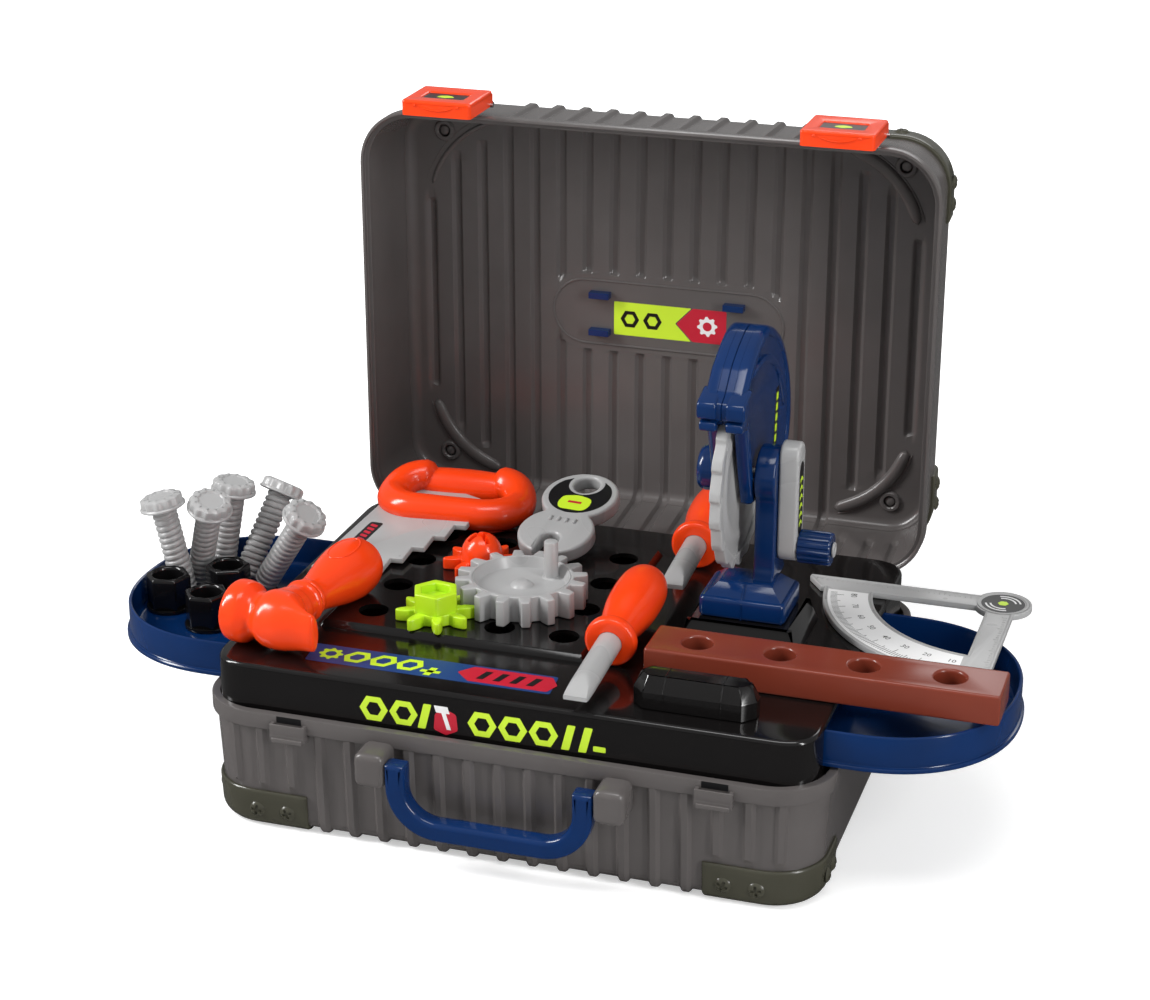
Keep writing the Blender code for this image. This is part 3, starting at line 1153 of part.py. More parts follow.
def build_lime_gear():
    gear = pinion("hex_gear", LIME, -1)
    join(gear, moved(cone_mesh(HEX_HUB_RADIUS, HEX_HUB_RADIUS, HEX_HUB_HEIGHT + PINION_THICK / 2, 6,
                               TURN * HEX_TURN_SHARE), at(0, 0, PINION_THICK / 2)))
    top = PINION_THICK + HEX_HUB_HEIGHT
    join(gear, moved(cone_mesh(HEX_CAP_RADIUS, HEX_CAP_RADIUS, HEX_CAP_HEIGHT + HEX_HUB_HEIGHT / 2, 6,
                               TURN * HEX_TURN_SHARE), at(0, 0, top - HEX_HUB_HEIGHT / 2)))
    cut(gear, block_mesh((HEX_CAP_RADIUS * 1.2, HUB_SLOT, HEX_CAP_HEIGHT * 2), (0, 0, top + HEX_CAP_HEIGHT)))


def build_dome_gear():
    gear = pinion("dome_gear", ORANGE, 1)
    profile = [(DOME_RADIUS * math.sin(math.pi / 2 * i / 5), DOME_HEIGHT * math.cos(math.pi / 2 * i / 5))
               for i in range(6)]
    profile += [(DOME_RADIUS, -PINION_THICK / 2), (0, -PINION_THICK / 2)]
    join(gear, moved(turned_mesh(profile, 20), at(0, 0, PINION_THICK)))
    for angle in (0, math.pi / 2):
        slot = block_mesh((DOME_RADIUS * 1.3, HUB_SLOT * 0.6, DOME_HEIGHT),
                          (0, 0, PINION_THICK + DOME_HEIGHT * 1.15))
        cut(gear, moved(slot, turn(angle + math.pi / 4, 'Z')))


# Board and protractor square

def build_board():
    board = piece("board", block_mesh((BOARD_LENGTH, BOARD_WIDTH, BOARD_THICK), (0, 0, 0), BOARD_EDGE, 2),
                  BOARD_BROWN, (BOARD_LEFT + BOARD_LENGTH / 2, BOARD_Y, DECK_TOP + GAP + BOARD_THICK / 2))
    holes = []
    for i in range(BOARD_HOLES):
        x = -BOARD_LENGTH / 2 + BOARD_HOLE_FIRST + i * BOARD_HOLE_PITCH
        holes.append(moved(cone_mesh(BOARD_HOLE_RADIUS, BOARD_HOLE_RADIUS, BOARD_THICK + 2 * CUT_OVERRUN, 20),
                           at(x, 0, -BOARD_THICK / 2 - CUT_OVERRUN)))
    cut(board, merged(holes))


def build_square():
    """A set square with a quarter-circle scale between its arms; u runs to the left, v to the front."""
    eye = SQUARE_EYE_RADIUS
    arm = SQUARE_ARM
    side = math.asin(arm / eye)
    outer_side = math.asin(arm / SQUARE_SCALE_OUTER)
    inner_side = math.asin(arm / SQUARE_SCALE_INNER)
    quarter = math.pi / 2
    loop = [(SQUARE_LONG, -arm)]
    loop += arc(eye, -side, -TURN + quarter + side, 14)
    loop += [(-arm, SQUARE_SHORT), (arm, SQUARE_SHORT)]
    loop += arc(SQUARE_SCALE_OUTER, quarter - outer_side, outer_side, ARC_POINTS)
    loop += [(SQUARE_LONG - arm, arm)]
    hole = arc(SQUARE_SCALE_INNER, inner_side, quarter - inner_side, ARC_POINTS)
    hole += arc(eye, quarter - side, side, 4)
    flip = Matrix.Scale(-1, 4, (1, 0, 0)) @ Matrix.Scale(-1, 4, (0, 1, 0))
    plate = plate_mesh([loop, hole], SQUARE_THICK)
    piece("protractor_square", moved(plate, flip), TOOL_GREY,
          (SQUARE_X, SQUARE_Y, DECK_TOP + GAP + SQUARE_THICK / 2))


# Hand saw

def build_hand_saw():
    """A stepped-tooth blade with a closed round grip over its heel."""
    length = HANDSAW_TEETH * HANDSAW_TOOTH_PITCH
    lead = length * HANDSAW_BACK_LEAD_SHARE
    loop = [(length, HANDSAW_HEEL), (-lead, HANDSAW_TIP)]
    for tooth in range(HANDSAW_TEETH):
        start = tooth * HANDSAW_TOOTH_PITCH
        loop += [(start, 0), (start + HANDSAW_TOOTH_DEPTH / 2, -HANDSAW_TOOTH_DEPTH)]
    loop += [(length, 0)]
    blade = piece("hand_saw_blade", plate_mesh([loop], HANDSAW_BLADE_THICK), TOOL_GREY,
                  (HANDSAW_X, HANDSAW_Y, HANDSAW_Z))
    blade.rotation_mode = 'QUATERNION'
    heading = Matrix.Rotation(TURN * HANDSAW_TURN_SHARE, 4, 'Z')
    blade.rotation_quaternion = (heading @ Matrix.Rotation(-TURN * HANDSAW_TILT_SHARE, 4, 'Y')).to_quaternion()
    curve = bpy.data.curves.new("grip", 'CURVE')
    curve.dimensions = '3D'
    curve.bevel_depth = GRIP_TUBE
    curve.bevel_resolution = 2
    spline = curve.splines.new('POLY')
    path = oval(2 * GRIP_HALF_LENGTH, 2 * GRIP_HALF_DEPTH)
    spline.points.add(len(path) - 1)
    for point, (x, y) in zip(spline.points, path):
        corner = 1 - abs(1 - 2 * abs(y) / GRIP_HALF_DEPTH) if y > 0 else 0
        point.co = (x, y, GRIP_HORN * corner * abs(x) / GRIP_HALF_LENGTH, 1)
        point.radius = GRIP_FRONT_SHARE + (GRIP_BACK_SHARE - GRIP_FRONT_SHARE) * (y > 0)
    spline.use_cyclic_u = True
    obj = bpy.data.objects.new("grip", curve)
    cutters.objects.link(obj)
    grip = piece("hand_saw_grip", baked_mesh(obj), ORANGE, (GRIP_X, GRIP_Y, GRIP_Z),
                 (0, 0, TURN * GRIP_TURN_SHARE))
    seat = plate_mesh([blade_seat()], HANDSAW_BLADE_THICK + 2 * GAP)
    to_grip = Matrix.Rotation(-TURN * GRIP_TURN_SHARE, 4, 'Z') @ at(-GRIP_X, -GRIP_Y, -GRIP_Z)
    place = at(HANDSAW_X, HANDSAW_Y, HANDSAW_Z) @ heading @ Matrix.Rotation(-TURN * HANDSAW_TILT_SHARE, 4, 'Y')
    cut(grip, moved(seat, to_grip @ place))
    grip.modifiers[-1].use_self = True


def blade_seat():
    """The blade's outline without its teeth, with the gap of its seat all round."""
    length = HANDSAW_TEETH * HANDSAW_TOOTH_PITCH + GAP
    low = -HANDSAW_TOOTH_DEPTH - GAP
    return [(length, HANDSAW_HEEL + GAP), (-length * HANDSAW_BACK_LEAD_SHARE, HANDSAW_TIP + GAP), (-GAP, low),
            (length, low)]


# Wrench

def build_wrench():
    """A thick jaw at one end and a round head with an eye at the other; local X runs to the eye."""
    jaw = WRENCH_JAW_RADIUS
    eye = WRENCH_EYE_RADIUS
    slit = math.asin(WRENCH_JAW_GAP / jaw)
    jaw_neck = math.asin(WRENCH_NECK / jaw)
    eye_neck = math.asin(WRENCH_NECK / eye)
    loop = arc(jaw, math.pi - slit, jaw_neck, 9)
    loop += arc(eye, math.pi - eye_neck, -math.pi + eye_neck, 17, WRENCH_LENGTH)
    loop += arc(jaw, -jaw_neck, -math.pi + slit, 9)
    loop += arc(WRENCH_JAW_GAP, -math.pi / 2, math.pi / 2, 6, WRENCH_JAW_DEPTH - jaw)
    hole = circle(WRENCH_EYE_HOLE, WRENCH_LENGTH + WRENCH_HOLE_OUT, count=16)
    body = plate_mesh([loop, hole], WRENCH_THICK, WRENCH_THICK / 8)
    wrench = piece("wrench", body, TOOL_GREY, (WRENCH_X, WRENCH_Y, WRENCH_Z))
    wrench.rotation_mode = 'QUATERNION'
    heading = Matrix.Rotation(TURN * (0.25 + WRENCH_TURN_SHARE), 4, 'Z')
    tilt = Matrix.Rotation(-TURN * WRENCH_TILT_SHARE, 4, 'Y')
    wrench.rotation_quaternion = (heading @ tilt).to_quaternion()


# Hammer

def build_hammer():
    """A two-piece toy hammer lying on the front corner; its head runs along X."""
    radius = HAMMER_BARREL_RADIUS
    rest = DECK_TOP + GAP + HAMMER_FACE_RADIUS
    heading = turn(TURN * HAMMER_TURN_SHARE, 'Z') @ turn(TURN * HAMMER_LIFT_SHARE, 'X')
    rotation = (TURN * HAMMER_LIFT_SHARE, 0, TURN * HAMMER_TURN_SHARE)
    left = -HAMMER_LENGTH / 2
    profile = [(0, HAMMER_LENGTH), (HAMMER_CLAW_TIP, HAMMER_LENGTH), (radius * 0.75, HAMMER_LENGTH * 0.85),
               (radius, HAMMER_LENGTH * 0.62), (radius, HAMMER_LENGTH * 0.38),
               (HAMMER_NECK_RADIUS, HAMMER_FACE_THICK + HAMMER_CLAW_TIP), (HAMMER_FACE_RADIUS, HAMMER_FACE_THICK),
               (HAMMER_FACE_RADIUS, HAMMER_FACE_THICK / 4), (HAMMER_FACE_RADIUS * 0.8, 0), (0, 0)]
    barrel = moved(turned_mesh(profile, 20), at(left, 0, 0), turn(math.pi / 2, 'Y'))
    head = piece("hammer_head", barrel, ORANGE, (HAMMER_X, HAMMER_Y, rest), rotation)
    collar = HAMMER_BARREL_RADIUS + HAMMER_COLLAR_LENGTH - HAMMER_NECK_RADIUS
    join(head, moved(cone_mesh(HAMMER_COLLAR_RADIUS, HAMMER_COLLAR_RADIUS * 0.9, collar, 20), ALONG_Y))
    cut(head, moved(cone_mesh(HAMMER_SPIGOT_RADIUS + BORE_CLEARANCE, HAMMER_SPIGOT_RADIUS + BORE_CLEARANCE,
                              HAMMER_SPIGOT_LENGTH + CUT_OVERRUN, 16),
                    at(0, collar - HAMMER_SPIGOT_LENGTH, 0), ALONG_Y))
    length = HAMMER_GRIP_LENGTH
    grip_radius = HAMMER_GRIP_RADIUS
    grip = [(0, length), (grip_radius * 0.55, length * 0.97), (grip_radius * 0.85, length * 0.88),
            (grip_radius, length * 0.7), (grip_radius * 0.95, length * 0.5), (HAMMER_GRIP_NECK * 1.1, length * 0.22),
            (HAMMER_GRIP_NECK, 0), (HAMMER_SPIGOT_RADIUS, 0), (HAMMER_SPIGOT_RADIUS, -HAMMER_SPIGOT_LENGTH + 2 * GAP),
            (0, -HAMMER_SPIGOT_LENGTH + 2 * GAP)]
    start = Vector((HAMMER_X, HAMMER_Y, rest)) + heading.to_3x3() @ Vector((0, collar + GAP, 0))
    piece("hammer_grip", moved(turned_mesh(grip, 20), ALONG_Y), ORANGE, start, rotation)


# Screwdrivers

def build_driver(name, place, turn_share, lift_share):
    """Local Y runs from the collar's front face to the end of the handle."""
    length = DRIVER_HANDLE_LENGTH
    radius = DRIVER_HANDLE_RADIUS
    profile = [(0, length), (radius * 0.6, length * 0.985), (radius * 0.85, length * 0.92), (radius, length * 0.72),
               (radius * 0.98, length * 0.5), (DRIVER_WAIST_RADIUS, length * 0.2),
               (DRIVER_WAIST_RADIUS, DRIVER_COLLAR_LENGTH * 1.3), (DRIVER_COLLAR_RADIUS, DRIVER_COLLAR_LENGTH),
               (DRIVER_COLLAR_RADIUS, DRIVER_COLLAR_LENGTH / 4), (DRIVER_COLLAR_RADIUS * 0.85, 0), (0, 0)]
    rotation = (TURN * lift_share, 0, TURN * turn_share)
    handle = piece(name + "_handle", moved(turned_mesh(profile, 20), ALONG_Y), ORANGE, place, rotation)
    shaft_radius = DRIVER_SHAFT_RADIUS
    cut(handle, moved(cone_mesh(shaft_radius + BORE_CLEARANCE, shaft_radius + BORE_CLEARANCE,
                                DRIVER_SHAFT_SEAT + CUT_OVERRUN, 16), at(0, -CUT_OVERRUN, 0), ALONG_Y))
    total = DRIVER_SHAFT_LENGTH + DRIVER_SHAFT_SEAT - GAP
    rod = moved(cone_mesh(shaft_radius, shaft_radius, total, 16), at(0, -DRIVER_SHAFT_LENGTH, 0), ALONG_Y)
    shaft = piece(name + "_shaft", rod, TOOL_GREY, place, rotation)
    slope = math.atan((shaft_radius - DRIVER_TIP_THICK / 2) / DRIVER_TIP_LENGTH)
    for z_sign in (-1, 1):
        wedge = block_mesh((4 * shaft_radius, 3 * DRIVER_TIP_LENGTH, 2 * shaft_radius), (0, 0, z_sign * shaft_radius))
        cut(shaft, moved(wedge, at(0, -DRIVER_SHAFT_LENGTH, z_sign * DRIVER_TIP_THICK / 2),
                         turn(z_sign * slope, 'X')))


# Bolts and nuts in the left tray

def build_bolt(index, foot, lean):
    """A toy bolt standing on the tray's floor; lean is its slope along X and Y."""
    direction = Vector((lean[0], lean[1], 1)).normalized()
    shank = BOLT_LENGTH - BOLT_HEAD_THICK
    total = BOLT_LENGTH
    profile = [(0, total), (BOLT_HEAD_RADIUS * 0.8, total), (BOLT_HEAD_RADIUS, total - BOLT_HEAD_THICK / 2),
               (BOLT_HEAD_RADIUS, shank), (BOLT_RADIUS, shank), (BOLT_RADIUS, BOLT_EDGE),
               (BOLT_RADIUS - BOLT_EDGE, 0), (0, 0)]
    sine = math.sqrt(1 - direction.z ** 2)
    height = TRAY_FOOT + TRAY_WALL + GAP + (BOLT_RADIUS - BOLT_EDGE) * sine
    bolt = piece("bolt_%d" % index, turned_mesh(profile, 16), TOOL_GREY, (foot[0], foot[1], height))
    bolt.rotation_mode = 'QUATERNION'
    bolt.rotation_quaternion = Vector((0, 0, 1)).rotation_difference(direction)


def build_nut(index, x, y, angle):
    loops = [circle(NUT_RADIUS, count=6), circle(NUT_BORE, count=20)]
    nut = moved(plate_mesh(loops, NUT_HEIGHT), at(0, 0, NUT_HEIGHT / 2))
    piece("nut_%d" % index, nut, NUT_BLACK, (x, y, TRAY_FOOT + TRAY_WALL + GAP), (0, 0, angle))


build_base()
build_hinge_pins()
lid_hinge = bpy.data.objects.new("lid_hinge", None)
lid_hinge.location = (0, HINGE_Y, HINGE_Z)
lid_hinge.rotation_euler = (-math.pi / 2, 0, 0)
pieces.objects.link(lid_hinge)
build_lid(lid_hinge)
build_handle()
build_deck()
build_clamp_bar()
build_tray(-1, "left")
build_tray(1, "right")
build_saw()
build_gears()
build_board()
build_square()
build_hand_saw()
build_wrench()
build_hammer()

# Where the screwdrivers lie
DRIVER_RISE = 17.3 * MM
DRIVER_1_X = 50 * MM
DRIVER_1_Y = -80 * MM
DRIVER_2_X = 60 * MM
DRIVER_2_Y = 86 * MM
DRIVER_LIFT_SHARE = 0.012
DRIVER_2_TURN_SHARE = 0.008
build_driver("driver_1", Vector((DRIVER_1_X, DRIVER_1_Y, DECK_TOP + DRIVER_RISE)), 0, DRIVER_LIFT_SHARE)
build_driver("driver_2", Vector((DRIVER_2_X, DRIVER_2_Y, DECK_TOP + DRIVER_RISE + GAP)), DRIVER_2_TURN_SHARE, 0)

# Where the bolts and nuts stand, as shares of the left tray's reach and half depth
BOLT_PLACE_SHARES = ((0.8192, 0.2133), (0.8096, 0.4378), (0.7067, 0.6022), (0.5115, 0.5444), (0.3385, 0.4933))
BOLT_LEAN_SHARES = ((-0.2, -0.03), (0.3, -0.22), (0.16, 0.07), (0.3, 0.6), (0.64, -0.13))
NUT_PLACE_SHARES = ((0.8077, -0.0778), (0.5, 0.2222), (0.4423, -0.2889))
NUT_TURN_SHARES = (0.032, 0.072, 0.016)


def in_left_tray(shares):
    return (-DECK_WIDTH / 2 - shares[0] * TRAY_REACH, TRAY_CENTRE_Y + shares[1] * TRAY_HALF_DEPTH)


for number, (place, bolt_lean) in enumerate(zip(BOLT_PLACE_SHARES, BOLT_LEAN_SHARES), start=1):
    build_bolt(number, in_left_tray(place), bolt_lean)
for number, (place, nut_turn) in enumerate(zip(NUT_PLACE_SHARES, NUT_TURN_SHARES), start=1):
    build_nut(number, *in_left_tray(place), TURN * nut_turn)
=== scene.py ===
"""A toy tool box: a ribbed carry case with its work deck, side trays, chop saw, gears and hand tools.

Drawn in millimetres, +Z up, with the child at -Y; assemble turns each finished piece into metres. The case
comes first, then what is fixed in it, then the loose tools.
"""

import math

import bmesh
import bpy
import numpy as np
from mathutils import Matrix, Vector
from mathutils.geometry import tessellate_polygon


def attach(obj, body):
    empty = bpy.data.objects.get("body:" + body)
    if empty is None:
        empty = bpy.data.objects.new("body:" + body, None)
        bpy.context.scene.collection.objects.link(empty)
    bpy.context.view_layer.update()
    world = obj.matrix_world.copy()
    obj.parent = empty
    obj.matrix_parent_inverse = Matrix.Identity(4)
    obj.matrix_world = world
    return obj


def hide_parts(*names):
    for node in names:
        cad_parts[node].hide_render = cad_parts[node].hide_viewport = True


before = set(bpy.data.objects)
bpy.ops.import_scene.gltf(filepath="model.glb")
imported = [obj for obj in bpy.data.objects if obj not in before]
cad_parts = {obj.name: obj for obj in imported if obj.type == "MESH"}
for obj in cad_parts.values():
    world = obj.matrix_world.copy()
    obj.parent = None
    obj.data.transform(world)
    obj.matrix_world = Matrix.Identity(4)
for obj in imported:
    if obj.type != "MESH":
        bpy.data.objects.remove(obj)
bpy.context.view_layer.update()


# Base shell
# The lower half of the case, one polypropylene moulding with a 2.8 mm wall. Ribs run down its front, under
# its bottom and up its back to stiffen it, and a proud band goes round the rim where the two halves meet.

MM = 0.001
CASE_X = 206
CASE_Y = 152.5
CASE_CORNER = 38.5
CASE_WALL = 2.8
CASE_DRAFT = 3.7
CASE_EDGE = 7
BASE_HEIGHT = 85
RIM_BAND = 11
RIM_EDGE = 0.8
RIB_HEIGHT = 2.5
RIB_PITCH = 20
RIB_CREST = 1.8
RIB_FOOT = 4.2
RIBS = 9
FULL_RIBS = 6
RIB_END = 3
GUARD_HEIGHT = 27
GUARD_X = 131
GUARD_Y = 92
CORNER_X = CASE_X - CASE_CORNER
CORNER_Y = CASE_Y - CASE_CORNER
WELD = 0.002
SHORT_RIB_END = 30.5
OVAL_HALF = 86
OVAL_RADIUS = 24
OVAL_Y = 2.5
TURN = 2 * math.pi


def srgb(code):
    """A hex colour made linear: c / 12.92 up to 0.04045, and ((c + 0.055) / 1.055) ** 2.4 above it."""
    channels = np.array([int(code[i:i + 2], 16) for i in (1, 3, 5)]) / 255
    curve = ((channels + 0.055) / 1.055) ** 2.4
    return (*np.where(channels <= 0.04045, channels / 12.92, curve).tolist(), 1)


def node(material, kind, inputs=None, **settings):
    """Adds a shader node with its settings; each input is a value, or another node's output to link."""
    tree = material.node_tree
    made = tree.nodes.new("ShaderNode" + kind)
    for key, value in settings.items():
        setattr(made, key, value)
    for socket, value in (inputs or {}).items():
        if isinstance(value, bpy.types.NodeSocket):
            tree.links.new(value, made.inputs[socket])
        else:
            made.inputs[socket].default_value = value
    return made


def moulded(name, light, dark, rough, cloud=45, depth=0, ior=1.5, edge=0):
    """A moulded plastic: pigment flow clouds between two close colours, and patches polished more or less.

    A depth adds the 9 mm waves that a thin glossy sheet keeps from its mould. An edge makes the sharp
    corners of a plain solid look round.
    """
    material = bpy.data.materials.new(name)
    material.use_nodes = True
    shader = material.node_tree.nodes["Principled BSDF"]
    place = node(material, "TexCoord").outputs["Object"]
    flow = node(material, "TexNoise", {"Vector": place, "Scale": 1 / (cloud * MM), "Detail": 3.0,
                                       "Roughness": 0.55})
    tint = node(material, "Mix", {0: flow.outputs["Fac"], 6: srgb(dark), 7: srgb(light)}, data_type="RGBA")
    smear = node(material, "TexNoise", {"Vector": place, "Scale": 1.3 / (cloud * MM), "Detail": 0.0})
    wear = node(material, "MapRange", {"Value": smear.outputs["Fac"], "From Min": 0.3, "From Max": 0.7,
                                       "To Min": rough - 0.03, "To Max": rough + 0.03})
    links = material.node_tree.links
    links.new(tint.outputs[2], shader.inputs["Base Color"])
    links.new(wear.outputs["Result"], shader.inputs["Roughness"])
    if depth:
        waves = node(material, "TexNoise", {"Vector": place, "Scale": 1 / (9 * MM), "Detail": 0.0})
        bump = node(material, "Bump", {"Strength": 1.0, "Distance": depth * MM,
                                       "Height": waves.outputs["Fac"]})
        links.new(bump.outputs["Normal"], shader.inputs["Normal"])
    if edge:
        bevel = node(material, "Bevel", {"Radius": edge * MM}, samples=4)
        links.new(bevel.outputs["Normal"], shader.inputs["Normal"])
    shader.inputs["IOR"].default_value = ior
    return material


def ease(share):
    """The smooth step 3s^2 - 2s^3, held at 0 below 0 and at 1 above 1."""
    share = np.clip(share, 0, 1)
    return share * share * (3 - 2 * share)


def quads(rows, columns, closed=True):
    """Faces of a grid whose points are numbered row by row; closed joins the last column to the first."""
    row, column = np.meshgrid(np.arange(rows - 1), np.arange(columns - (not closed)), indexing="ij")
    right = (column + 1) % columns
    low, high = row * columns, (row + 1) * columns
    return np.stack([low + column, low + right, high + right, high + column], -1).reshape(-1, 4)


def turned_over(part):
    """The same part with every face facing the other way."""
    return (part[0], *[faces[:, ::-1] for faces in part[1:]])


def placed(part, matrix):
    """The part's points put through a matrix; a mirroring one also turns the faces over."""
    grid = np.array(matrix, float)
    moved = (part[0] @ grid[:3, :3].T + grid[:3, 3], *part[1:])
    return turned_over(moved) if np.linalg.det(grid[:3, :3]) < 0 else moved


def move(x, y, z):
    return Matrix.Translation((x, y, z))


def spin(angle, axis):
    return Matrix.Rotation(angle, 4, axis)


def assemble(name, body, finish, parts, replaces=(), sharp=32, at=None):
    """One object in metres from parts of points and faces, welded, smooth but for its sharp edges."""
    if at is not None:
        parts = [placed(part, at) for part in parts]
    starts = np.cumsum([0] + [len(part[0]) for part in parts])
    faces = [face for part, start in zip(parts, starts) for group in part[1:]
             for face in (group + start).tolist()]
    mesh = bpy.data.meshes.new(name)
    mesh.from_pydata((np.concatenate([part[0] for part in parts]) * MM).tolist(), [], faces)
    welded = bmesh.new()
    welded.from_mesh(mesh)
    bmesh.ops.remove_doubles(welded, verts=welded.verts, dist=WELD * MM)
    welded.to_mesh(mesh)
    welded.free()
    mesh.materials.append(finish)
    mesh.shade_smooth()
    mesh.set_sharp_from_angle(angle=math.radians(sharp))
    piece = bpy.data.objects.new(name, mesh)
    bpy.context.scene.collection.objects.link(piece)
    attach(piece, body)
    if replaces:
        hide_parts(*replaces)


def rib_index(x):
    """The number of the rib nearest to x, 0 in the middle of the case and RIBS next to its corners."""
    return np.clip(np.abs(np.round(x / RIB_PITCH)), 0, RIBS)


def rib_wave(x):
    """Share of the rib height at x: 1 on a crest, eased to 0 at the rib's foot."""
    off = np.abs(np.abs(x) - RIB_PITCH * rib_index(x))
    return ease((RIB_FOOT - off) / (RIB_FOOT - RIB_CREST))


def case_half(height, front_ribs, inner_rim, inner_ends, oval_gap=False):
    """A half of the case, its rim at z = 0: a grid over the panel, and a profile carried round the walls.

    The plan is a rounded rectangle, its centre line plus the outward normal times a radius. A profile row
    gives that radius' inset and the height. Ribs push each point out along the profile's own normal.
    """
    flank = np.array([0, RIB_CREST, 2.6, 3.4, RIB_FOOT])
    step = np.unique(np.concatenate([-flank, flank, [RIB_PITCH / 2]]))
    x = np.unique(np.round((np.arange(-RIBS - 1, RIBS + 2)[:, None] * RIB_PITCH + step).ravel(), 3))
    straight = x[np.abs(x) < CORNER_X]
    bent = np.arcsin((x[(x > CORNER_X) & (x < CORNER_X + 20)] - CORNER_X) / (CASE_CORNER - RIB_HEIGHT))
    bow = np.concatenate([[0], bent, np.linspace(0.55, TURN / 4, 10)])
    centre_x = np.concatenate([np.full(len(bow), -CORNER_X), straight, np.full(len(bow), CORNER_X)])
    sine = np.concatenate([-np.sin(bow[::-1]), 0 * straight, np.sin(bow)])
    cosine = np.concatenate([np.cos(bow[::-1]), 0 * straight + 1, np.cos(bow)])
    # The panel's rows lie closer where ribs end: at the oval, the gussets and the guards.
    marks = np.array([2.5, 66, 70, 73, 76, 85, 88, 91, 99, 102, 105, 112, 115, 118, 121])
    marks = np.concatenate([marks, -marks,
                            (OVAL_Y + np.array([-1, 1])[:, None]
                             * np.array([24, 26, 27.5, 29, 30.5, 32, 35])).ravel()])
    panel_y = CORNER_Y + CASE_CORNER - RIB_HEIGHT - CASE_DRAFT - CASE_EDGE
    share = np.unique(np.concatenate([np.linspace(-1, 1, 31), marks / panel_y]))
    inner = share[1:-1]
    centre = np.concatenate([np.column_stack([centre_x, np.full(len(centre_x), -CORNER_Y)]),
                             np.column_stack([np.full(len(inner), CORNER_X), inner * CORNER_Y]),
                             np.column_stack([centre_x, np.full(len(centre_x), CORNER_Y)])[::-1],
                             np.column_stack([np.full(len(inner), -CORNER_X), inner * CORNER_Y])[::-1]])
    normal = np.concatenate([np.column_stack([sine, -cosine]), np.column_stack([0 * inner + 1, 0 * inner]),
                             np.column_stack([sine, cosine])[::-1],
                             np.column_stack([0 * inner - 1, 0 * inner])])

    def lean(z):
        return CASE_DRAFT * z / (height - RIB_HEIGHT)

    def wall(start, stop, inset):
        """Rows of a leaning wall: inset, height, and the share of the ribs' push outwards and upwards."""
        z = np.array([start, *(height - SHORT_RIB_END - np.array([3.5, 1.2, -0.5])), stop])
        return np.column_stack([inset + lean(z), z, 0 * z + 1, 0 * z])

    def bend(inset, top):
        angle = np.linspace(0, TURN / 4, 7)
        run = CASE_EDGE * (1 - np.cos(angle))
        rise = CASE_EDGE * np.sin(angle)
        return np.column_stack([inset + lean(top) + run, top - CASE_EDGE + rise, np.cos(angle),
                                np.sin(angle)])

    roof = height - RIB_HEIGHT
    band = np.array([(RIM_EDGE, 0), (RIM_EDGE / 4, RIM_EDGE / 4), (0, RIM_EDGE), (0, RIM_BAND - RIM_EDGE),
                     (RIM_EDGE / 4, RIM_BAND - RIM_EDGE / 4), (RIM_EDGE, RIM_BAND)])
    inner_start = inner_rim[-1][1] + 2
    profile = np.concatenate([bend(RIB_HEIGHT + CASE_WALL, roof - CASE_WALL)[::-1],
                              wall(inner_start, roof - CASE_WALL - CASE_EDGE, RIB_HEIGHT + CASE_WALL)[::-1],
                              np.column_stack([inner_rim[::-1], np.zeros((len(inner_rim), 2))]),
                              np.column_stack([band, np.zeros((len(band), 2))]),
                              [(RIB_HEIGHT + lean(RIM_BAND), RIM_BAND + RIM_EDGE / 4, 1, 0)],
                              wall(RIM_BAND + 1.5, roof - CASE_EDGE, RIB_HEIGHT), bend(RIB_HEIGHT, roof)])
    inset, z, out, up = profile.T[:, :, None]
    at_x = centre[:, 0] + normal[:, 0] * (CASE_CORNER - RIB_HEIGHT)
    index = rib_index(at_x)
    short = index > FULL_RIBS
    allowed = np.where(normal[:, 1] < 0, (index <= front_ribs) | (short & (front_ribs >= FULL_RIBS)), True)
    push = RIB_HEIGHT * rib_wave(at_x) * allowed * (np.abs(normal[:, 1]) > 0)
    push = push * np.where(short, ease((height - SHORT_RIB_END - z) / RIB_END), 1)
    radius = CASE_CORNER - inset + push * out
    ring = np.concatenate([centre + normal * radius[..., None],
                           np.broadcast_to((z + push * up)[..., None], (*radius.shape, 1))], -1)
    parts = [(ring.reshape(-1, 3), quads(*radius.shape))]
    for row, ends, gap, flip in ((0, inner_ends, 5, True), (-1, (88,) * 3, 2, False)):
        depth = profile[row]
        reach = CASE_CORNER - depth[0]
        px = np.broadcast_to(centre_x + sine * reach, (len(share), len(centre_x)))
        py = share[:, None] * (CORNER_Y + cosine * reach)
        index = rib_index(px).astype(int)
        stop = np.array([CASE_Y] * (FULL_RIBS + 1) + list(ends))[index]
        front = np.where((index <= FULL_RIBS) & (index > front_ribs), panel_y - 4, stop)
        rib = RIB_HEIGHT * rib_wave(px) * ease((stop - py) / RIB_END) * ease((front + py) / RIB_END)
        if oval_gap:
            past = np.maximum(np.abs(px) - OVAL_HALF + OVAL_RADIUS, 0)
            away = np.hypot(past, py - OVAL_Y) - OVAL_RADIUS
            rib = rib * ease((away - gap) / 1.5)
        points = np.stack([px, py, depth[1] + rib], -1).reshape(-1, 3)
        panel = (points, quads(*px.shape, closed=False))
        parts.append(turned_over(panel) if flip else panel)
    return parts


CASE_GREY = moulded("charcoal polypropylene", "#5f5b5a", "#54504f", 0.24)
BASE_PLACE = move(0, 0, BASE_HEIGHT) @ Matrix.Scale(-1, 4, (0, 0, 1))
LEDGE = np.array([(2.4, 0), (5.1, 0), (5.3, 0.3), (5.3, 5.3), (14.3, 5.3), (14.3, 8.3), (6, 8.3)])
base = case_half(BASE_HEIGHT, RIBS, LEDGE, (121,) * 3)


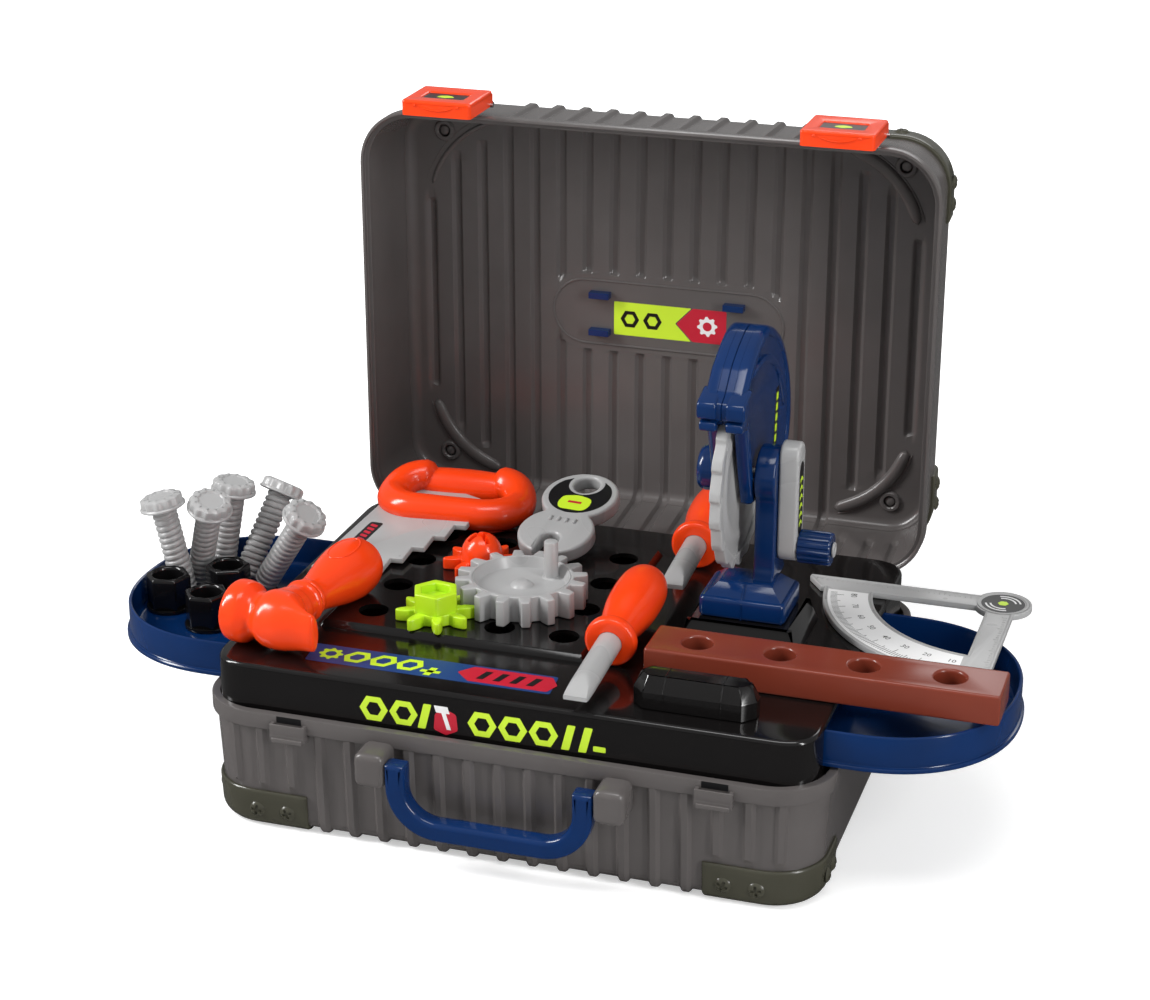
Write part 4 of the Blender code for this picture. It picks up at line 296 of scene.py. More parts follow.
def polar(radius, angle):
    return np.column_stack([radius * np.cos(angle), radius * np.sin(angle)])


def arc(radius, start, stop, count, x=0, y=0):
    return polar(radius, np.linspace(start, stop, count)) + np.array([x, y])


def level(loop, height):
    """The outline's points at one height."""
    return np.column_stack([loop, np.full(len(loop), height)])


def inset_loop(loop, distance):
    """The outline moved into the material: every point goes along the mitre of its two sides' normals."""
    ahead = np.roll(loop, -1, 0) - loop
    ahead = ahead / np.linalg.norm(ahead, axis=1, keepdims=True)
    normal = np.column_stack([-ahead[:, 1], ahead[:, 0]])
    before = np.roll(normal, 1, 0)
    spread = np.maximum(1 + (normal * before).sum(1, keepdims=True), 0.4)
    return loop + distance * (normal + before) / spread


def prism(loops, profile):
    """Outlines carried up a profile of (inset, height) pairs, with both ends filled.

    The first loop is the outside, run anticlockwise; the others are holes, run clockwise.
    """
    starts = np.cumsum([0] + [len(loop) * len(profile) for loop in loops])
    points = np.concatenate([level(inset_loop(loop, run), rise) for loop in loops for run, rise in profile])
    faces = [quads(len(profile), len(loop)) + start for loop, start in zip(loops, starts)]
    for row, upwards in ((0, False), (len(profile) - 1, True)):
        rims = [start + row * len(loop) + np.arange(len(loop)) for loop, start in zip(loops, starts)]
        triangles = tessellate_polygon([[Vector(point[:2]) for point in points[rim]] for rim in rims])
        ids = np.concatenate(rims)[np.array(triangles)]
        one, two, three = points[ids.T, :2]
        area = (two - one)[:, 0] * (three - one)[:, 1] - (two - one)[:, 1] * (three - one)[:, 0]
        wrong = (area > 0) != upwards
        ids[wrong] = ids[wrong][:, ::-1]
        faces.append(ids)
    return (points, *faces)


def rounded(points, radius, steps=4):
    """Corners of an outline replaced by B(t) = (1-t)^2 A + 2t(1-t) P + t^2 C, a radius to either side."""
    corner = np.asarray(points, float)
    back = np.roll(corner, 1, 0) - corner
    ahead = np.roll(corner, -1, 0) - corner
    long_back = np.linalg.norm(back, axis=1, keepdims=True)
    long_ahead = np.linalg.norm(ahead, axis=1, keepdims=True)
    wanted = np.broadcast_to(np.asarray(radius, float).reshape(-1, 1), long_back.shape)
    start = corner + back * np.minimum(wanted / long_back, 0.48)
    stop = corner + ahead * np.minimum(wanted / long_ahead, 0.48)
    t = np.linspace(0, 1, steps + 1)[:, None]
    curve = (1 - t) ** 2 * start[:, None] + 2 * t * (1 - t) * corner[:, None] + t ** 2 * stop[:, None]
    return curve.reshape(-1, 2)


def rolled(low, high, radius, steps=4, foot=None):
    """(inset, height) pairs of an upright side with quarter-round edges; foot is the lower one's radius."""
    angle = np.linspace(0, TURN / 4, steps + 1)
    foot = radius if foot is None else foot
    lower = [(0, low)]
    if foot:
        lower = np.column_stack([foot * (1 - np.sin(angle)), low + foot * (1 - np.cos(angle))])
    upper = np.column_stack([radius * (1 - np.cos(angle)), high - radius * (1 - np.sin(angle))])
    return np.concatenate([lower, upper])


def rectangle(x_low, x_high, y_low, y_high):
    return np.array([(x_low, y_low), (x_high, y_low), (x_high, y_high), (x_low, y_high)])


def block(low, high, corner, edge):
    """A rounded block between two corner points: a rounded rectangle carried up a rounded profile."""
    plan = rounded(rectangle(low[0], high[0], low[1], high[1]), corner)
    return prism([plan], rolled(low[2], high[2], edge))


LATCH_X = 139
KEEPER_TOP = 80.6
BOSS_X = 77.8
EAR_X = (118.7, 141.3)
EAR_RADIUS = 4.5
AXIS_Y = 157.5
AXIS_Z = 92
ACROSS = Matrix(((0, 0, 1, 0), (1, 0, 0, 0), (0, 1, 0, 0), (0, 0, 0, 1)))
FRONTWARD = Matrix(((1, 0, 0, 0), (0, 0, -1, 0), (0, 1, 0, 0), (0, 0, 0, 1)))
fittings = []
for side in (-1, 1):
    rim = rounded(rectangle(-12, 12, -156.5, -149.6), 0.9)
    pocket = rounded(rectangle(-9.6, 9.6, -155.1, -151.9), 0.5)[::-1]
    lip = block((-10.5, -157.8, 68.4), (10.5, -150, 71.6), 0.8, 0.7)
    for part in (prism([rim, pocket], rolled(73, KEEPER_TOP, 0.5, 3)), lip,
                 block((-12, -156.5, 69.2), (12, -150, 74), 0.9, 0.7)):
        fittings.append(placed(part, move(side * LATCH_X, 0, 0)))
    boss_plan = rounded(rectangle(-10, 10, 54.5, 77.5), 5.5)
    boss = placed(prism([boss_plan], rolled(149, 172.5, 4, 5)), FRONTWARD)
    fittings.append(placed(boss, move(side * BOSS_X, 0, 0)))
    for ear_x in EAR_X:
        ear = np.concatenate([[(149, 73), (149, 84), (152.8, 84)],
                              arc(EAR_RADIUS, TURN * 0.4, 0, 12, AXIS_Y, AXIS_Z),
                              [(162, 79), (152.5, 73)]])[::-1]
        slab = placed(prism([ear], rolled(-3, 3, 0.6, 2)), ACROSS)
        fittings.append(placed(slab, move(side * ear_x, 0, 0)))
assemble("case_base", "case", CASE_GREY, [placed(part, BASE_PLACE) for part in base]
         + fittings, ["base_shell"])


# Lid shell
# The upper half, moulded like the base and hinged behind it. Its inside shows the ribs as channels
# that stop at an oval for the badge's clips and at a curved gusset with a screw boss in each corner.

LID_HEIGHT = 75
LID_TOP = 249.5
LID_BACK = 151.5
LID_PLACE = Matrix(((1, 0, 0, 0), (0, 0, 1, LID_BACK), (0, -1, 0, LID_TOP), (0, 0, 0, 1)))
LID_RIM = np.array([(1.7, 0), (2.1, 0.4), (2.1, 3), (2.7, 3.5), (5, 3.5), (5.3, 3.9), (5.35, 8)])
LID_FLOOR = LID_HEIGHT - RIB_HEIGHT - CASE_WALL
CHANNEL_ENDS = (118, 105, 73)
lid_parts = case_half(LID_HEIGHT, 5, LID_RIM, CHANNEL_ENDS, oval_gap=True)


def swept(path, section, closed=False, up=(0, 0, 1), scale=None):
    """A section of (side, up) pairs carried along a path, side being the tangent crossed with up.

    A scale of 0 at both ends draws the ends to points and so closes them.
    """
    path = np.asarray(path, float)
    if closed:
        along = np.roll(path, -1, 0) - np.roll(path, 1, 0)
    else:
        along = np.gradient(path, axis=0)
    along = along / np.linalg.norm(along, axis=1, keepdims=True)
    side = np.cross(along, np.asarray(up, float))
    side = side / np.linalg.norm(side, axis=1, keepdims=True)
    rise = np.cross(side, along)
    scale = np.ones(len(path)) if scale is None else np.asarray(scale, float)
    size = np.asarray(section, float)[None] * scale[:, None, None]
    points = path[:, None] + size[..., :1] * side[:, None] + size[..., 1:] * rise[:, None]
    if closed:
        points = np.concatenate([points, points[:1]])
    return points.reshape(-1, 3), quads(len(points), points.shape[1])[:, ::-1]


def ellipse(width, height, count=12):
    angle = np.arange(count) * TURN / count
    return np.column_stack([width * np.cos(angle), height * np.sin(angle)])


def stadium(half_length, radius, x=0, y=0, count=16):
    """A loop of two half circles joined by straights."""
    right = arc(radius, -TURN / 4, TURN / 4, count, x + half_length - radius, y)
    left = arc(-radius, -TURN / 4, TURN / 4, count, x - half_length + radius, y)
    return np.concatenate([right, left])


def turned(profile, count=40):
    """A profile of (radius, height) pairs, lowest first, spun round the z axis."""
    radius, height = np.asarray(profile, float).T
    angle = np.arange(count) * TURN / count
    points = np.stack([np.outer(radius, np.cos(angle)), np.outer(radius, np.sin(angle)),
                       np.broadcast_to(height[:, None], (len(height), count))], -1)
    return points.reshape(-1, 3), quads(len(radius), count)


def bulged(count, power):
    """Scales of a sweep that closes at both ends: the square root of 1 - |t|^power, for t from -1 to 1."""
    return np.sqrt(np.clip(1 - np.abs(np.linspace(-1, 1, count)) ** power, 0, 1))


GUSSET_X = 110
GUSSET_Y = 64.5
GUSSET_RADIUS = 71
BOSS_AT = (168.5, 123.5)
LATCH_PIN = (-157.5, 16.5)
LUG_RADIUS = 3.6
oval = level(stadium(OVAL_HALF, OVAL_RADIUS, 0, OVAL_Y), LID_FLOOR)
lid_parts.append(swept(oval, ellipse(0.9, 0.7, 8), closed=True))
angle = np.linspace(TURN * 15 / 360, TURN * 76 / 360, 24)
taper = bulged(24, 8)
GUSSET_BULK = {(-1, 1): 1, (1, 1): 1, (-1, -1): 0.35, (1, -1): 0.9}
for x_sign in (-1, 1):
    for y_sign in (1, -1):
        ridge = np.column_stack([x_sign * (GUSSET_X + GUSSET_RADIUS * np.cos(angle)),
                                 y_sign * (GUSSET_Y + GUSSET_RADIUS * np.sin(angle)),
                                 np.full(24, LID_FLOOR)])
        bulk = GUSSET_BULK[x_sign, y_sign]
        lid_parts.append(swept(ridge, ellipse(4.8 * bulk, 3.6 * bulk, 14), scale=taper))
        shoulder = ridge + np.column_stack([x_sign * 5 * np.cos(angle), y_sign * 5 * np.sin(angle),
                                            np.zeros(24)])
        lid_parts.append(swept(shoulder, ellipse(0.9 * bulk, 0.8 * bulk, 8), scale=taper))
        screw_boss = turned([(0, 0), (8, 0), (7.6, -1), (6.8, -1.8), (5, -1.8), (4.4, -1.2), (4.1, 0.6),
                             (3.7, 0.6), (3.2, -0.3), (1.6, -0.9), (0, -1)][::-1], 28)
        lid_parts.append(placed(screw_boss, move(x_sign * BOSS_AT[0], y_sign * BOSS_AT[1], LID_FLOOR)))
for side in (-1, 1):
    knuckle = np.concatenate([[(149, 87.6)], arc(EAR_RADIUS, -TURN / 4, TURN / 4, 12, AXIS_Y, AXIS_Z),
                              [(152, 101)]])
    slab = placed(prism([rounded(knuckle, 0.2, 1)], rolled(-8, 8, 0.6, 2)), ACROSS)
    lid_parts.append(placed(placed(slab, move(side * 130, 0, 0)), LID_PLACE.inverted()))
    lug = np.concatenate([[(-149, 24)], arc(LUG_RADIUS, TURN / 4, TURN * 0.75, 12, *LATCH_PIN), [(-149, 9)]])
    slab = placed(prism([lug], rolled(-10, 10, 0.6, 2)), ACROSS)
    lid_parts.append(placed(slab, move(side * LATCH_X, 0, 0)))
assemble("case_lid", "lid", CASE_GREY, lid_parts, ["lid_shell"], at=LID_PLACE)


# Corner guards
# Eight ABS caps, four on each half, pushed over the corners and held by two domed
# cross-head screws on each face. They are moulded in a dark olive and stand flush with the ribs.

GUARD_OLIVE = moulded("olive ABS", "#47463b", "#3c3b31", 0.22)
SCREW_RADIUS = 5.3
SCREW_PROUD = 2.3


def guard(height):
    """The corner cap at +X -Y: the case's wall pushed out by the rib height, and dropped at its border."""
    first = np.array([0, 0, 0.5, 1.5])
    lift = np.array([0, 0.6, 0.84, 1])
    run = np.concatenate([first, np.linspace(5, CORNER_X - GUARD_X, 5)])
    front = np.column_stack([GUARD_X + run, 0 * run - CORNER_Y, 0 * run, 0 * run - 1])
    angle = np.linspace(0, TURN / 4, 13)[1:]
    bend = np.column_stack([0 * angle + CORNER_X, 0 * angle - CORNER_Y, np.sin(angle), -np.cos(angle)])
    run = np.concatenate([np.linspace(CORNER_Y - GUARD_Y, 5, 4)[1:], first[::-1]])
    side = np.column_stack([0 * run + CORNER_X, -GUARD_Y - run, 0 * run + 1, 0 * run])
    line = np.concatenate([front, bend, side])
    ends = np.ones(len(line))
    ends[:4], ends[-4:] = lift, lift[::-1]
    low = height - GUARD_HEIGHT
    steep = height - RIB_HEIGHT - CASE_EDGE
    z = np.concatenate([low + first, [low + 6, steep]])
    wall_inset = RIB_HEIGHT + CASE_DRAFT * z / (height - RIB_HEIGHT)
    phi = np.linspace(0, TURN / 4, 8)[1:]
    inset = np.concatenate([wall_inset, wall_inset[-1] + CASE_EDGE * (1 - np.cos(phi))])
    out = np.concatenate([0 * z + 1, np.cos(phi)])
    up = np.concatenate([0 * z, np.sin(phi)])
    z = np.concatenate([z, steep + CASE_EDGE * np.sin(phi)])
    rise = np.ones(len(z))
    rise[:4] = lift
    push = RIB_HEIGHT * rise[:, None] * ends
    radius = CASE_CORNER - inset[:, None] + push * out[:, None]
    plan = line[:, :2] + line[:, 2:] * radius[..., None]
    rows = np.concatenate([plan, (z[:, None] + push * up[:, None])[..., None]], -1)
    inward = np.array([0.3, 0.6, 0.9, 0.985, 1])[:, None, None]
    flat = rows[-1, :, :2] * (1 - inward) + np.array([GUARD_X, -GUARD_Y]) * inward
    roof = height - RIB_HEIGHT + RIB_HEIGHT * ends * np.array([1, 1, 1, 1, 0])[:, None]
    rows = np.concatenate([rows, np.concatenate([flat, roof[..., None]], -1)])
    return rows.reshape(-1, 3), quads(rows.shape[0], rows.shape[1], closed=False)


def domed_screw():
    """A dome with a cross slot: a square grid drawn to a disc by x sqrt(1 - y^2/2), sunk along the slot."""
    line = np.array([0, 0.09, 0.15, 0.19, 0.3, 0.5, 0.58, 0.62, 0.66, 0.75, 0.9, 1])
    line = np.concatenate([-line[:0:-1], line])
    u, v = np.meshgrid(line, line)
    x, y = u * np.sqrt(1 - v * v / 2), v * np.sqrt(1 - u * u / 2)
    radius = np.hypot(x, y)
    height = SCREW_PROUD * (1 - radius ** 2.6)
    arm = np.maximum(ease((0.2 - np.abs(u)) / 0.06) * ease((0.65 - np.abs(v)) / 0.06),
                     ease((0.2 - np.abs(v)) / 0.06) * ease((0.65 - np.abs(u)) / 0.06))
    height = np.maximum(height - 1.3 * arm, 0)
    points = np.stack([x * SCREW_RADIUS, y * SCREW_RADIUS, height], -1).reshape(-1, 3)
    return points, quads(len(line), len(line), closed=False)


def guard_screws(height):
    """The four screws of the guard at +X -Y, on the middle of its height."""
    z = height - GUARD_HEIGHT / 2
    lean = CASE_DRAFT * z / (height - RIB_HEIGHT)
    head = domed_screw()
    screws = []
    for step in (0, 1):
        x = GUARD_X + 13.6 + step * 21
        y = -(GUARD_Y + 10.1 + step * 15.2)
        front = move(x, -CASE_Y + lean, z) @ spin(TURN / 4, "X")
        side = move(CASE_X - lean, y, z) @ spin(TURN / 4, "Y")
        screws += [placed(head, front @ spin(0.4 + step, "Z")), placed(head, side @ spin(0.9 - step, "Z"))]
    return screws


for half, height, body, place in (("base", BASE_HEIGHT, "case", BASE_PLACE),
                                  ("lid", LID_HEIGHT, "lid", LID_PLACE)):
    for x_sign, across in ((-1, "left"), (1, "right")):
        for y_sign, along in ((-1, "front"), (1, "rear")):
            flip = place @ Matrix.Diagonal((x_sign, -y_sign, 1, 1))
            name = "%s_guard_%s_%s" % (half, along, across)
            assemble("corner_cap_" + name, body, GUARD_OLIVE,
                     [guard(height), *guard_screws(height)], [name], sharp=40, at=flip)


# Work deck
# A hollow tray of glossy black polystyrene that drops onto the base's ledge.
# Its raised plate has sixteen holes for the gears' stems, and a flared stand
# carries the saw. The trays come out through slots in its sides.

DECK_BLACK = moulded("gloss black polystyrene", "#131111", "#0d0c0c", 0.13, cloud=90, depth=0.02, ior=1.55)
DECK_X = 197
DECK_Y = 144.5
DECK_FOOT = 80
DECK_TOP = 114
DECK_WALL = 3
PEG_X = np.array([-121, -77, -33, 11])
PEG_Y = np.array([-51.5, -7.5, 36.5, 80.5])
PEG_HOLE = 10
deck_plan = rounded(rectangle(-DECK_X, DECK_X, -DECK_Y, DECK_Y), 25, 12)
well = rounded(rectangle(-142, 25, -69, 98), 4)[::-1]
deck_top = prism([deck_plan, well], rolled(DECK_TOP - DECK_WALL, DECK_TOP, 3, 6, foot=0.1))


def bore(radius, count=40):
    """A round hole's outline, run clockwise."""
    return ellipse(radius, radius, count)[::-1]


peg_holes = [bore(PEG_HOLE) + np.array([x, y]) for x in PEG_X for y in PEG_Y]
plate_plan = rounded(rectangle(-150, 33, -77, 106), 4)
SLOPE = np.array([(0, 113.9), (0.3, 114.4), (3.2, 117.6), (4, 118)])
plate_rows = np.concatenate([inset_loop(plate_plan, run) for run, _ in SLOPE])
plate_rise = np.repeat(SLOPE[:, 1], len(plate_plan))
plate_slope = (np.column_stack([plate_rows, plate_rise]), quads(len(SLOPE), len(plate_plan)))
plate_top = prism([inset_loop(plate_plan, 4), *peg_holes], [(0, 115), (0, 117.4), (0, 118)])
STAND = np.array([(0, 113.9), (0.6, 114.6), (7.4, 129.2), (8.2, 130)])
stand = prism([rounded(rectangle(79.5, 159.5, -31, 37), 5)], STAND)


def wall_along(path, low, high, thick):
    """An upright wall of one thickness that follows an open path, its ends closed."""
    section = np.array([(0, low), (thick, low), (thick, high), (0, high)])
    ahead = np.gradient(path, axis=0)
    ahead = ahead / np.linalg.norm(ahead, axis=1, keepdims=True)
    normal = np.column_stack([-ahead[:, 1], ahead[:, 0]])
    lines = [level(path + normal * run, rise) for run, rise in section]
    last = 4 * len(path) - 1
    caps = np.array([[0, 1, 2, 3], [last, last - 1, last - 2, last - 3]])
    return np.stack(lines, 1).reshape(-1, 3), quads(len(path), 4), caps


SLOT_Y = (-117, 69)
front_run = deck_plan[deck_plan[:, 1] < 0]
front_run = front_run[np.argsort(np.arctan2(front_run[:, 1] + 60, front_run[:, 0]))]
front_run = np.concatenate([[(-DECK_X, SLOT_Y[0])], front_run, [(DECK_X, SLOT_Y[0])]])
rear_run = deck_plan[deck_plan[:, 1] > 0]
rear_run = rear_run[np.argsort(np.arctan2(rear_run[:, 1] - 60, rear_run[:, 0]))]
rear_run = np.concatenate([[(DECK_X, SLOT_Y[1])], rear_run, [(-DECK_X, SLOT_Y[1])]])
skirt = [wall_along(front_run, DECK_FOOT, 111.5, DECK_WALL),
         wall_along(rear_run, DECK_FOOT, 111.5, DECK_WALL)]
sill = [block((side * 195.5 - 1.5, SLOT_Y[0], DECK_FOOT), (side * 195.5 + 1.5, SLOT_Y[1], 86.4), 0.1, 0.1)
        for side in (-1, 1)]
assemble("deck", "case", DECK_BLACK, [deck_top, plate_slope, plate_top, stand, *skirt, *sill],
         ["work_deck"], sharp=35)


# Hinge and latch pins
# Plain drawn steel rods, the saw's axle with them. The solids already
# show them as they are, since they hide in the knuckles, lugs and bosses.


def metal(name, light, dark, rough):
    """Drawn steel: brushed along its length by a stretched noise, so highlights break into fine lines."""
    material = bpy.data.materials.new(name)
    material.use_nodes = True
    shader = material.node_tree.nodes["Principled BSDF"]
    place = node(material, "TexCoord").outputs["Object"]
    thin = node(material, "Mapping", {"Vector": place, "Scale": (60, 900, 900)})
    lines = node(material, "TexNoise", {"Vector": thin.outputs["Vector"], "Scale": 1.0, "Detail": 2.0})
    tint = node(material, "Mix", {0: lines.outputs["Fac"], 6: srgb(dark), 7: srgb(light)}, data_type="RGBA")
    spread = node(material, "MapRange", {"Value": lines.outputs["Fac"], "To Min": rough - 0.05,
                                         "To Max": rough + 0.08})
    material.node_tree.links.new(tint.outputs[2], shader.inputs["Base Color"])
    material.node_tree.links.new(spread.outputs["Result"], shader.inputs["Roughness"])
    shader.inputs["Metallic"].default_value = 1
    return material


def dress(names, finish):
    """Gives the solids that stay as they are their finish."""
    for name in names:
        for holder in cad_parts[name].material_slots:
            holder.material = finish


STEEL = metal("drawn steel", "#c2c2c4", "#9a9a9c", 0.3)
dress(["hinge_pin_left", "hinge_pin_right", "latch_pin_left", "latch_pin_right", "saw_axle"], STEEL)


# Latches
# Two orange ABS caps that swing on their pins at the lid's front edge and snap under the keepers.
# A dark label shows through a window in each, and a shallow smile in the end wall takes the thumb.

ORANGE = moulded("orange ABS", "#f84716", "#ec3d0e", 0.2)
# This black also serves as painted shade: the plates over the keepers use it.
BLACK_PRINT_AND_SHADE = moulded("black printed vinyl and painted shade", "#141416", "#0f0f11", 0.34)
LABEL_LIME = moulded("lime printed vinyl", "#cdee35", "#c3e62c", 0.34)
LABEL_RED = moulded("red printed vinyl", "#c41c34", "#b8172e", 0.34)
LABEL_BLUE = moulded("blue printed vinyl", "#163f7c", "#123770", 0.34)
LABEL_WHITE = moulded("white printed vinyl", "#ececec", "#e4e4e4", 0.34)


PRINT = 0.12


def decal(name, body, finish, loops, place, proud=PRINT):
    """Flat printed shapes, each a plan outline, laid a tenth of a millimetre proud of what they stick to.
    The same thin sheets also make the black plates of painted shade over the keepers.
    """
    sheets = [prism([loop], [(0, 0), (0, proud)]) for loop in loops]
    assemble(name, body, finish, sheets, at=place)


ON_PRINT = move(0, 0, PRINT)


def shifted(loops, x, y, lean=0):
    """Loops slanted by a share of their height and moved."""
    return [np.column_stack([loop[:, 0] + lean * loop[:, 1] + x, loop[:, 1] + y]) for loop in loops]


LATCH_HALF = 25
LATCH_TOE = -41
LATCH_HEEL = 4.5
LATCH_ROUND = 2.6
latch_plan = rounded(rectangle(-LATCH_HALF, LATCH_HALF, LATCH_TOE, LATCH_HEEL), LATCH_ROUND)
window = rounded(rectangle(-15, 15, -29, -12), 1.2)[::-1]
bend_x = LATCH_HALF - LATCH_ROUND
bend_y = LATCH_TOE + LATCH_ROUND
latch_wall = np.concatenate([[(-LATCH_HALF, LATCH_HEEL)],
                             arc(LATCH_ROUND, TURN / 2, TURN * 0.75, 6, -bend_x, bend_y),
                             arc(LATCH_ROUND, TURN * 0.75, TURN, 6, bend_x, bend_y),
                             [(LATCH_HALF, LATCH_HEEL)]])
across = np.linspace(-1, 1, 15)
smile = np.column_stack([12.5 * across, 0 * across + LATCH_TOE - 0.1, 3.4 + 2.6 * across ** 2])
latch_parts = [prism([latch_plan, window], rolled(7.1, 9.6, 1.4, 4, foot=0)),
               wall_along(latch_wall, -1, 7.3, 2.5),
               swept(smile, ellipse(0.55, 0.8, 10), up=(0, -1, 0), scale=bulged(15, 6))]
for nib in (-15.5, 15.5):
    latch_parts.append(placed(block((-1.1, -1.1, -0.8), (1.1, 1.1, 0.8), 0.5, 0.5),
                              move(nib, LATCH_TOE - 0.2, 6.6)))
for side, which in ((-1, "left"), (1, "right")):
    place = LID_PLACE @ move(side * LATCH_X, *LATCH_PIN) @ FRONTWARD
    body = which + "_latch"
    assemble("latch_cap_" + which, body, ORANGE, latch_parts, ["latch_" + which], at=place)
    card = place @ move(0, 0, 8.3)
    decal("latch_card_" + which, body, BLACK_PRINT_AND_SHADE, [rectangle(-17, 17, -31, -10)], card, proud=0.3)
    leaf = rounded([(-8, -1.5), (0, -4.5), (8, -1.5), (5.5, 2.5), (0, 4.5), (-5.5, 2.5)], 1.6)
    decal("latch_mark_" + which, body, LABEL_LIME, shifted([leaf * 0.8], 0, -20.5), card @ move(0, 0, 0.3))


# Carry handle
# A U-shaped bail of blue ABS, flattened front and back,
# that hangs from two short stubs in the grey bosses.

BLUE = moulded("cobalt ABS", "#082d60", "#06244e", 0.15)
HANDLE_Y = -165.5
HANDLE_Z = 66
BAIL_X = 34
BAIL_Y = -9
BAIL_TOP = 6.5
BAIL_OUT = 33.5
BAIL_IN = 20.5
bail = np.concatenate([[(-BAIL_X - BAIL_OUT, BAIL_TOP)],
                       arc(BAIL_OUT, TURN / 2, TURN * 0.75, 14, -BAIL_X, BAIL_Y),
                       arc(BAIL_OUT, TURN * 0.75, TURN, 14, BAIL_X, BAIL_Y),
                       [(BAIL_X + BAIL_OUT, BAIL_TOP), (BAIL_X + BAIL_IN, BAIL_TOP)],
                       arc(BAIL_IN, TURN, TURN * 0.75, 14, BAIL_X, BAIL_Y),
                       arc(BAIL_IN, TURN * 0.75, TURN / 2, 14, -BAIL_X, BAIL_Y),
                       [(-BAIL_X - BAIL_IN, BAIL_TOP)]])
handle_parts = [placed(prism([rounded(bail, 1.4, 2)], rolled(-6.5, 6.5, 3, 5)), FRONTWARD)]
for side in (-1, 1):
    stub = turned([(0, 0), (3, 0), (3, 13), (2.4, 13.5), (0, 13.5)], 24)
    handle_parts.append(placed(stub, move(side * (BAIL_X + 27), 0, 0) @ spin(side * TURN / 4, "Y")))
assemble("carry_bail", "handle", BLUE, handle_parts, ["carry_handle"],
         at=move(0, HANDLE_Y, HANDLE_Z))


# Work deck prints
# Printed vinyl strips stuck on the deck's front margin and front wall. They
# carry plain shapes of the same colours and size as on the toy: cogs, slanted
# bars and nut outlines. The black plates over the keepers are painted shade:
# they stand in for the shadow in the slot behind each keeper.

# Painted shade: a thin black plate on the rim band over each keeper, standing in for the shadowed slot
# behind it.
for side, which in ((-1, "left"), (1, "right")):
    decal("keeper_painted_shade_" + which, "case", BLACK_PRINT_AND_SHADE, [rectangle(-8.4, 8.4, KEEPER_TOP - 0.3, 84.6)],
          move(side * LATCH_X, -CASE_Y, 0) @ FRONTWARD)
STRIP = move(-56, -114, DECK_TOP)
strip_plan = rounded([(-82, -12.5), (82, -12.5), (80, 12), (-84, 12)], 2)
decal("deck_strip", "case", LABEL_BLUE, [strip_plan], STRIP)
tag = np.array([(17, 0), (27, -10), (79, -10), (83, 0), (77, 10), (25, 10)])
decal("deck_tag", "case", LABEL_RED, [rounded(tag, 1.2)], STRIP @ ON_PRINT)
bar = rectangle(-2.2, 2.2, -5.5, 5.5)
dash = rectangle(-6.5, 6.5, -1.6, 1.6)
TOP_PRINT = STRIP @ move(0, 0, 0.2)
decal("deck_tag_marks", "case", BLACK_PRINT_AND_SHADE,
      [shape for x in (35, 46, 57, 68) for shape in shifted([bar], x, 0, 0.3)], TOP_PRINT @ move(0, 0, 0.1))


def nut_outline(size, thick):
    """A hexagon ring drawn as two half rings, so that each is one plain outline."""
    halves = []
    for start in (0, TURN / 2):
        outer = arc(size, start, start + TURN / 2, 4)
        inner = arc(size - thick, start + TURN / 2, start, 4)
        halves.append(np.concatenate([outer, inner]))
    return halves


def half_cog(radius, teeth, start):
    """Half of a printed cog ring, so that its outline needs no hole."""
    angle = start + np.arange(teeth * 4 // 2 + 1) * TURN / teeth / 4
    reach = radius * np.resize([1, 1, 0.78, 0.78], len(angle))
    return np.concatenate([polar(reach, angle), arc(radius * 0.45, start + TURN / 2, start, 12)])


cog_print = [half_cog(8, 8, 0), half_cog(8, 8, TURN / 2)]
strip_marks = shifted(cog_print, -69, 0)
for x in (-51, -33, -15):
    strip_marks += shifted(nut_outline(8.9, 4), x, 0, 0.2)
strip_marks += shifted([dash, bar], 0.5, -5, 0.2)
decal("deck_strip_marks", "case", LABEL_LIME, strip_marks, TOP_PRINT)
FRONT_PRINT = move(0, -DECK_Y, 96) @ FRONTWARD
front_marks = []
for x in (-84, -64, -12, 8, 28):
    front_marks += shifted(nut_outline(9.5, 4.4), x, 0)
for x in (-50, 44, 55):
    front_marks += shifted([rounded(rectangle(-2.6, 2.6, -8.6, 8.6), 0.8)], x, 0, 0.25)
front_marks += shifted([rounded(rectangle(-4, 4, -1.8, 1.8), 0.8)], 64, -5)
decal("deck_front_marks", "case", LABEL_LIME, front_marks, FRONT_PRINT)
shield = np.array([(-8, -7), (0, -10), (8, -6), (7, 5), (0, 8), (-7, 4)])
decal("deck_front_shield", "case", LABEL_RED, shifted([rounded(shield, 1.5)], -36, -1), FRONT_PRINT)
hammer_print = [rectangle(-1.4, 1.4, -7, 4), rectangle(-5, 4, 4, 8.6)]
decal("deck_front_tool", "case", LABEL_WHITE, shifted(hammer_print, -36, 0, -0.3), FRONT_PRINT @ ON_PRINT)


# Clamp bar
# The black bar that holds the board against the deck: bevelled all round,
# drawn to a point at each end, with two thin mould seams across it.

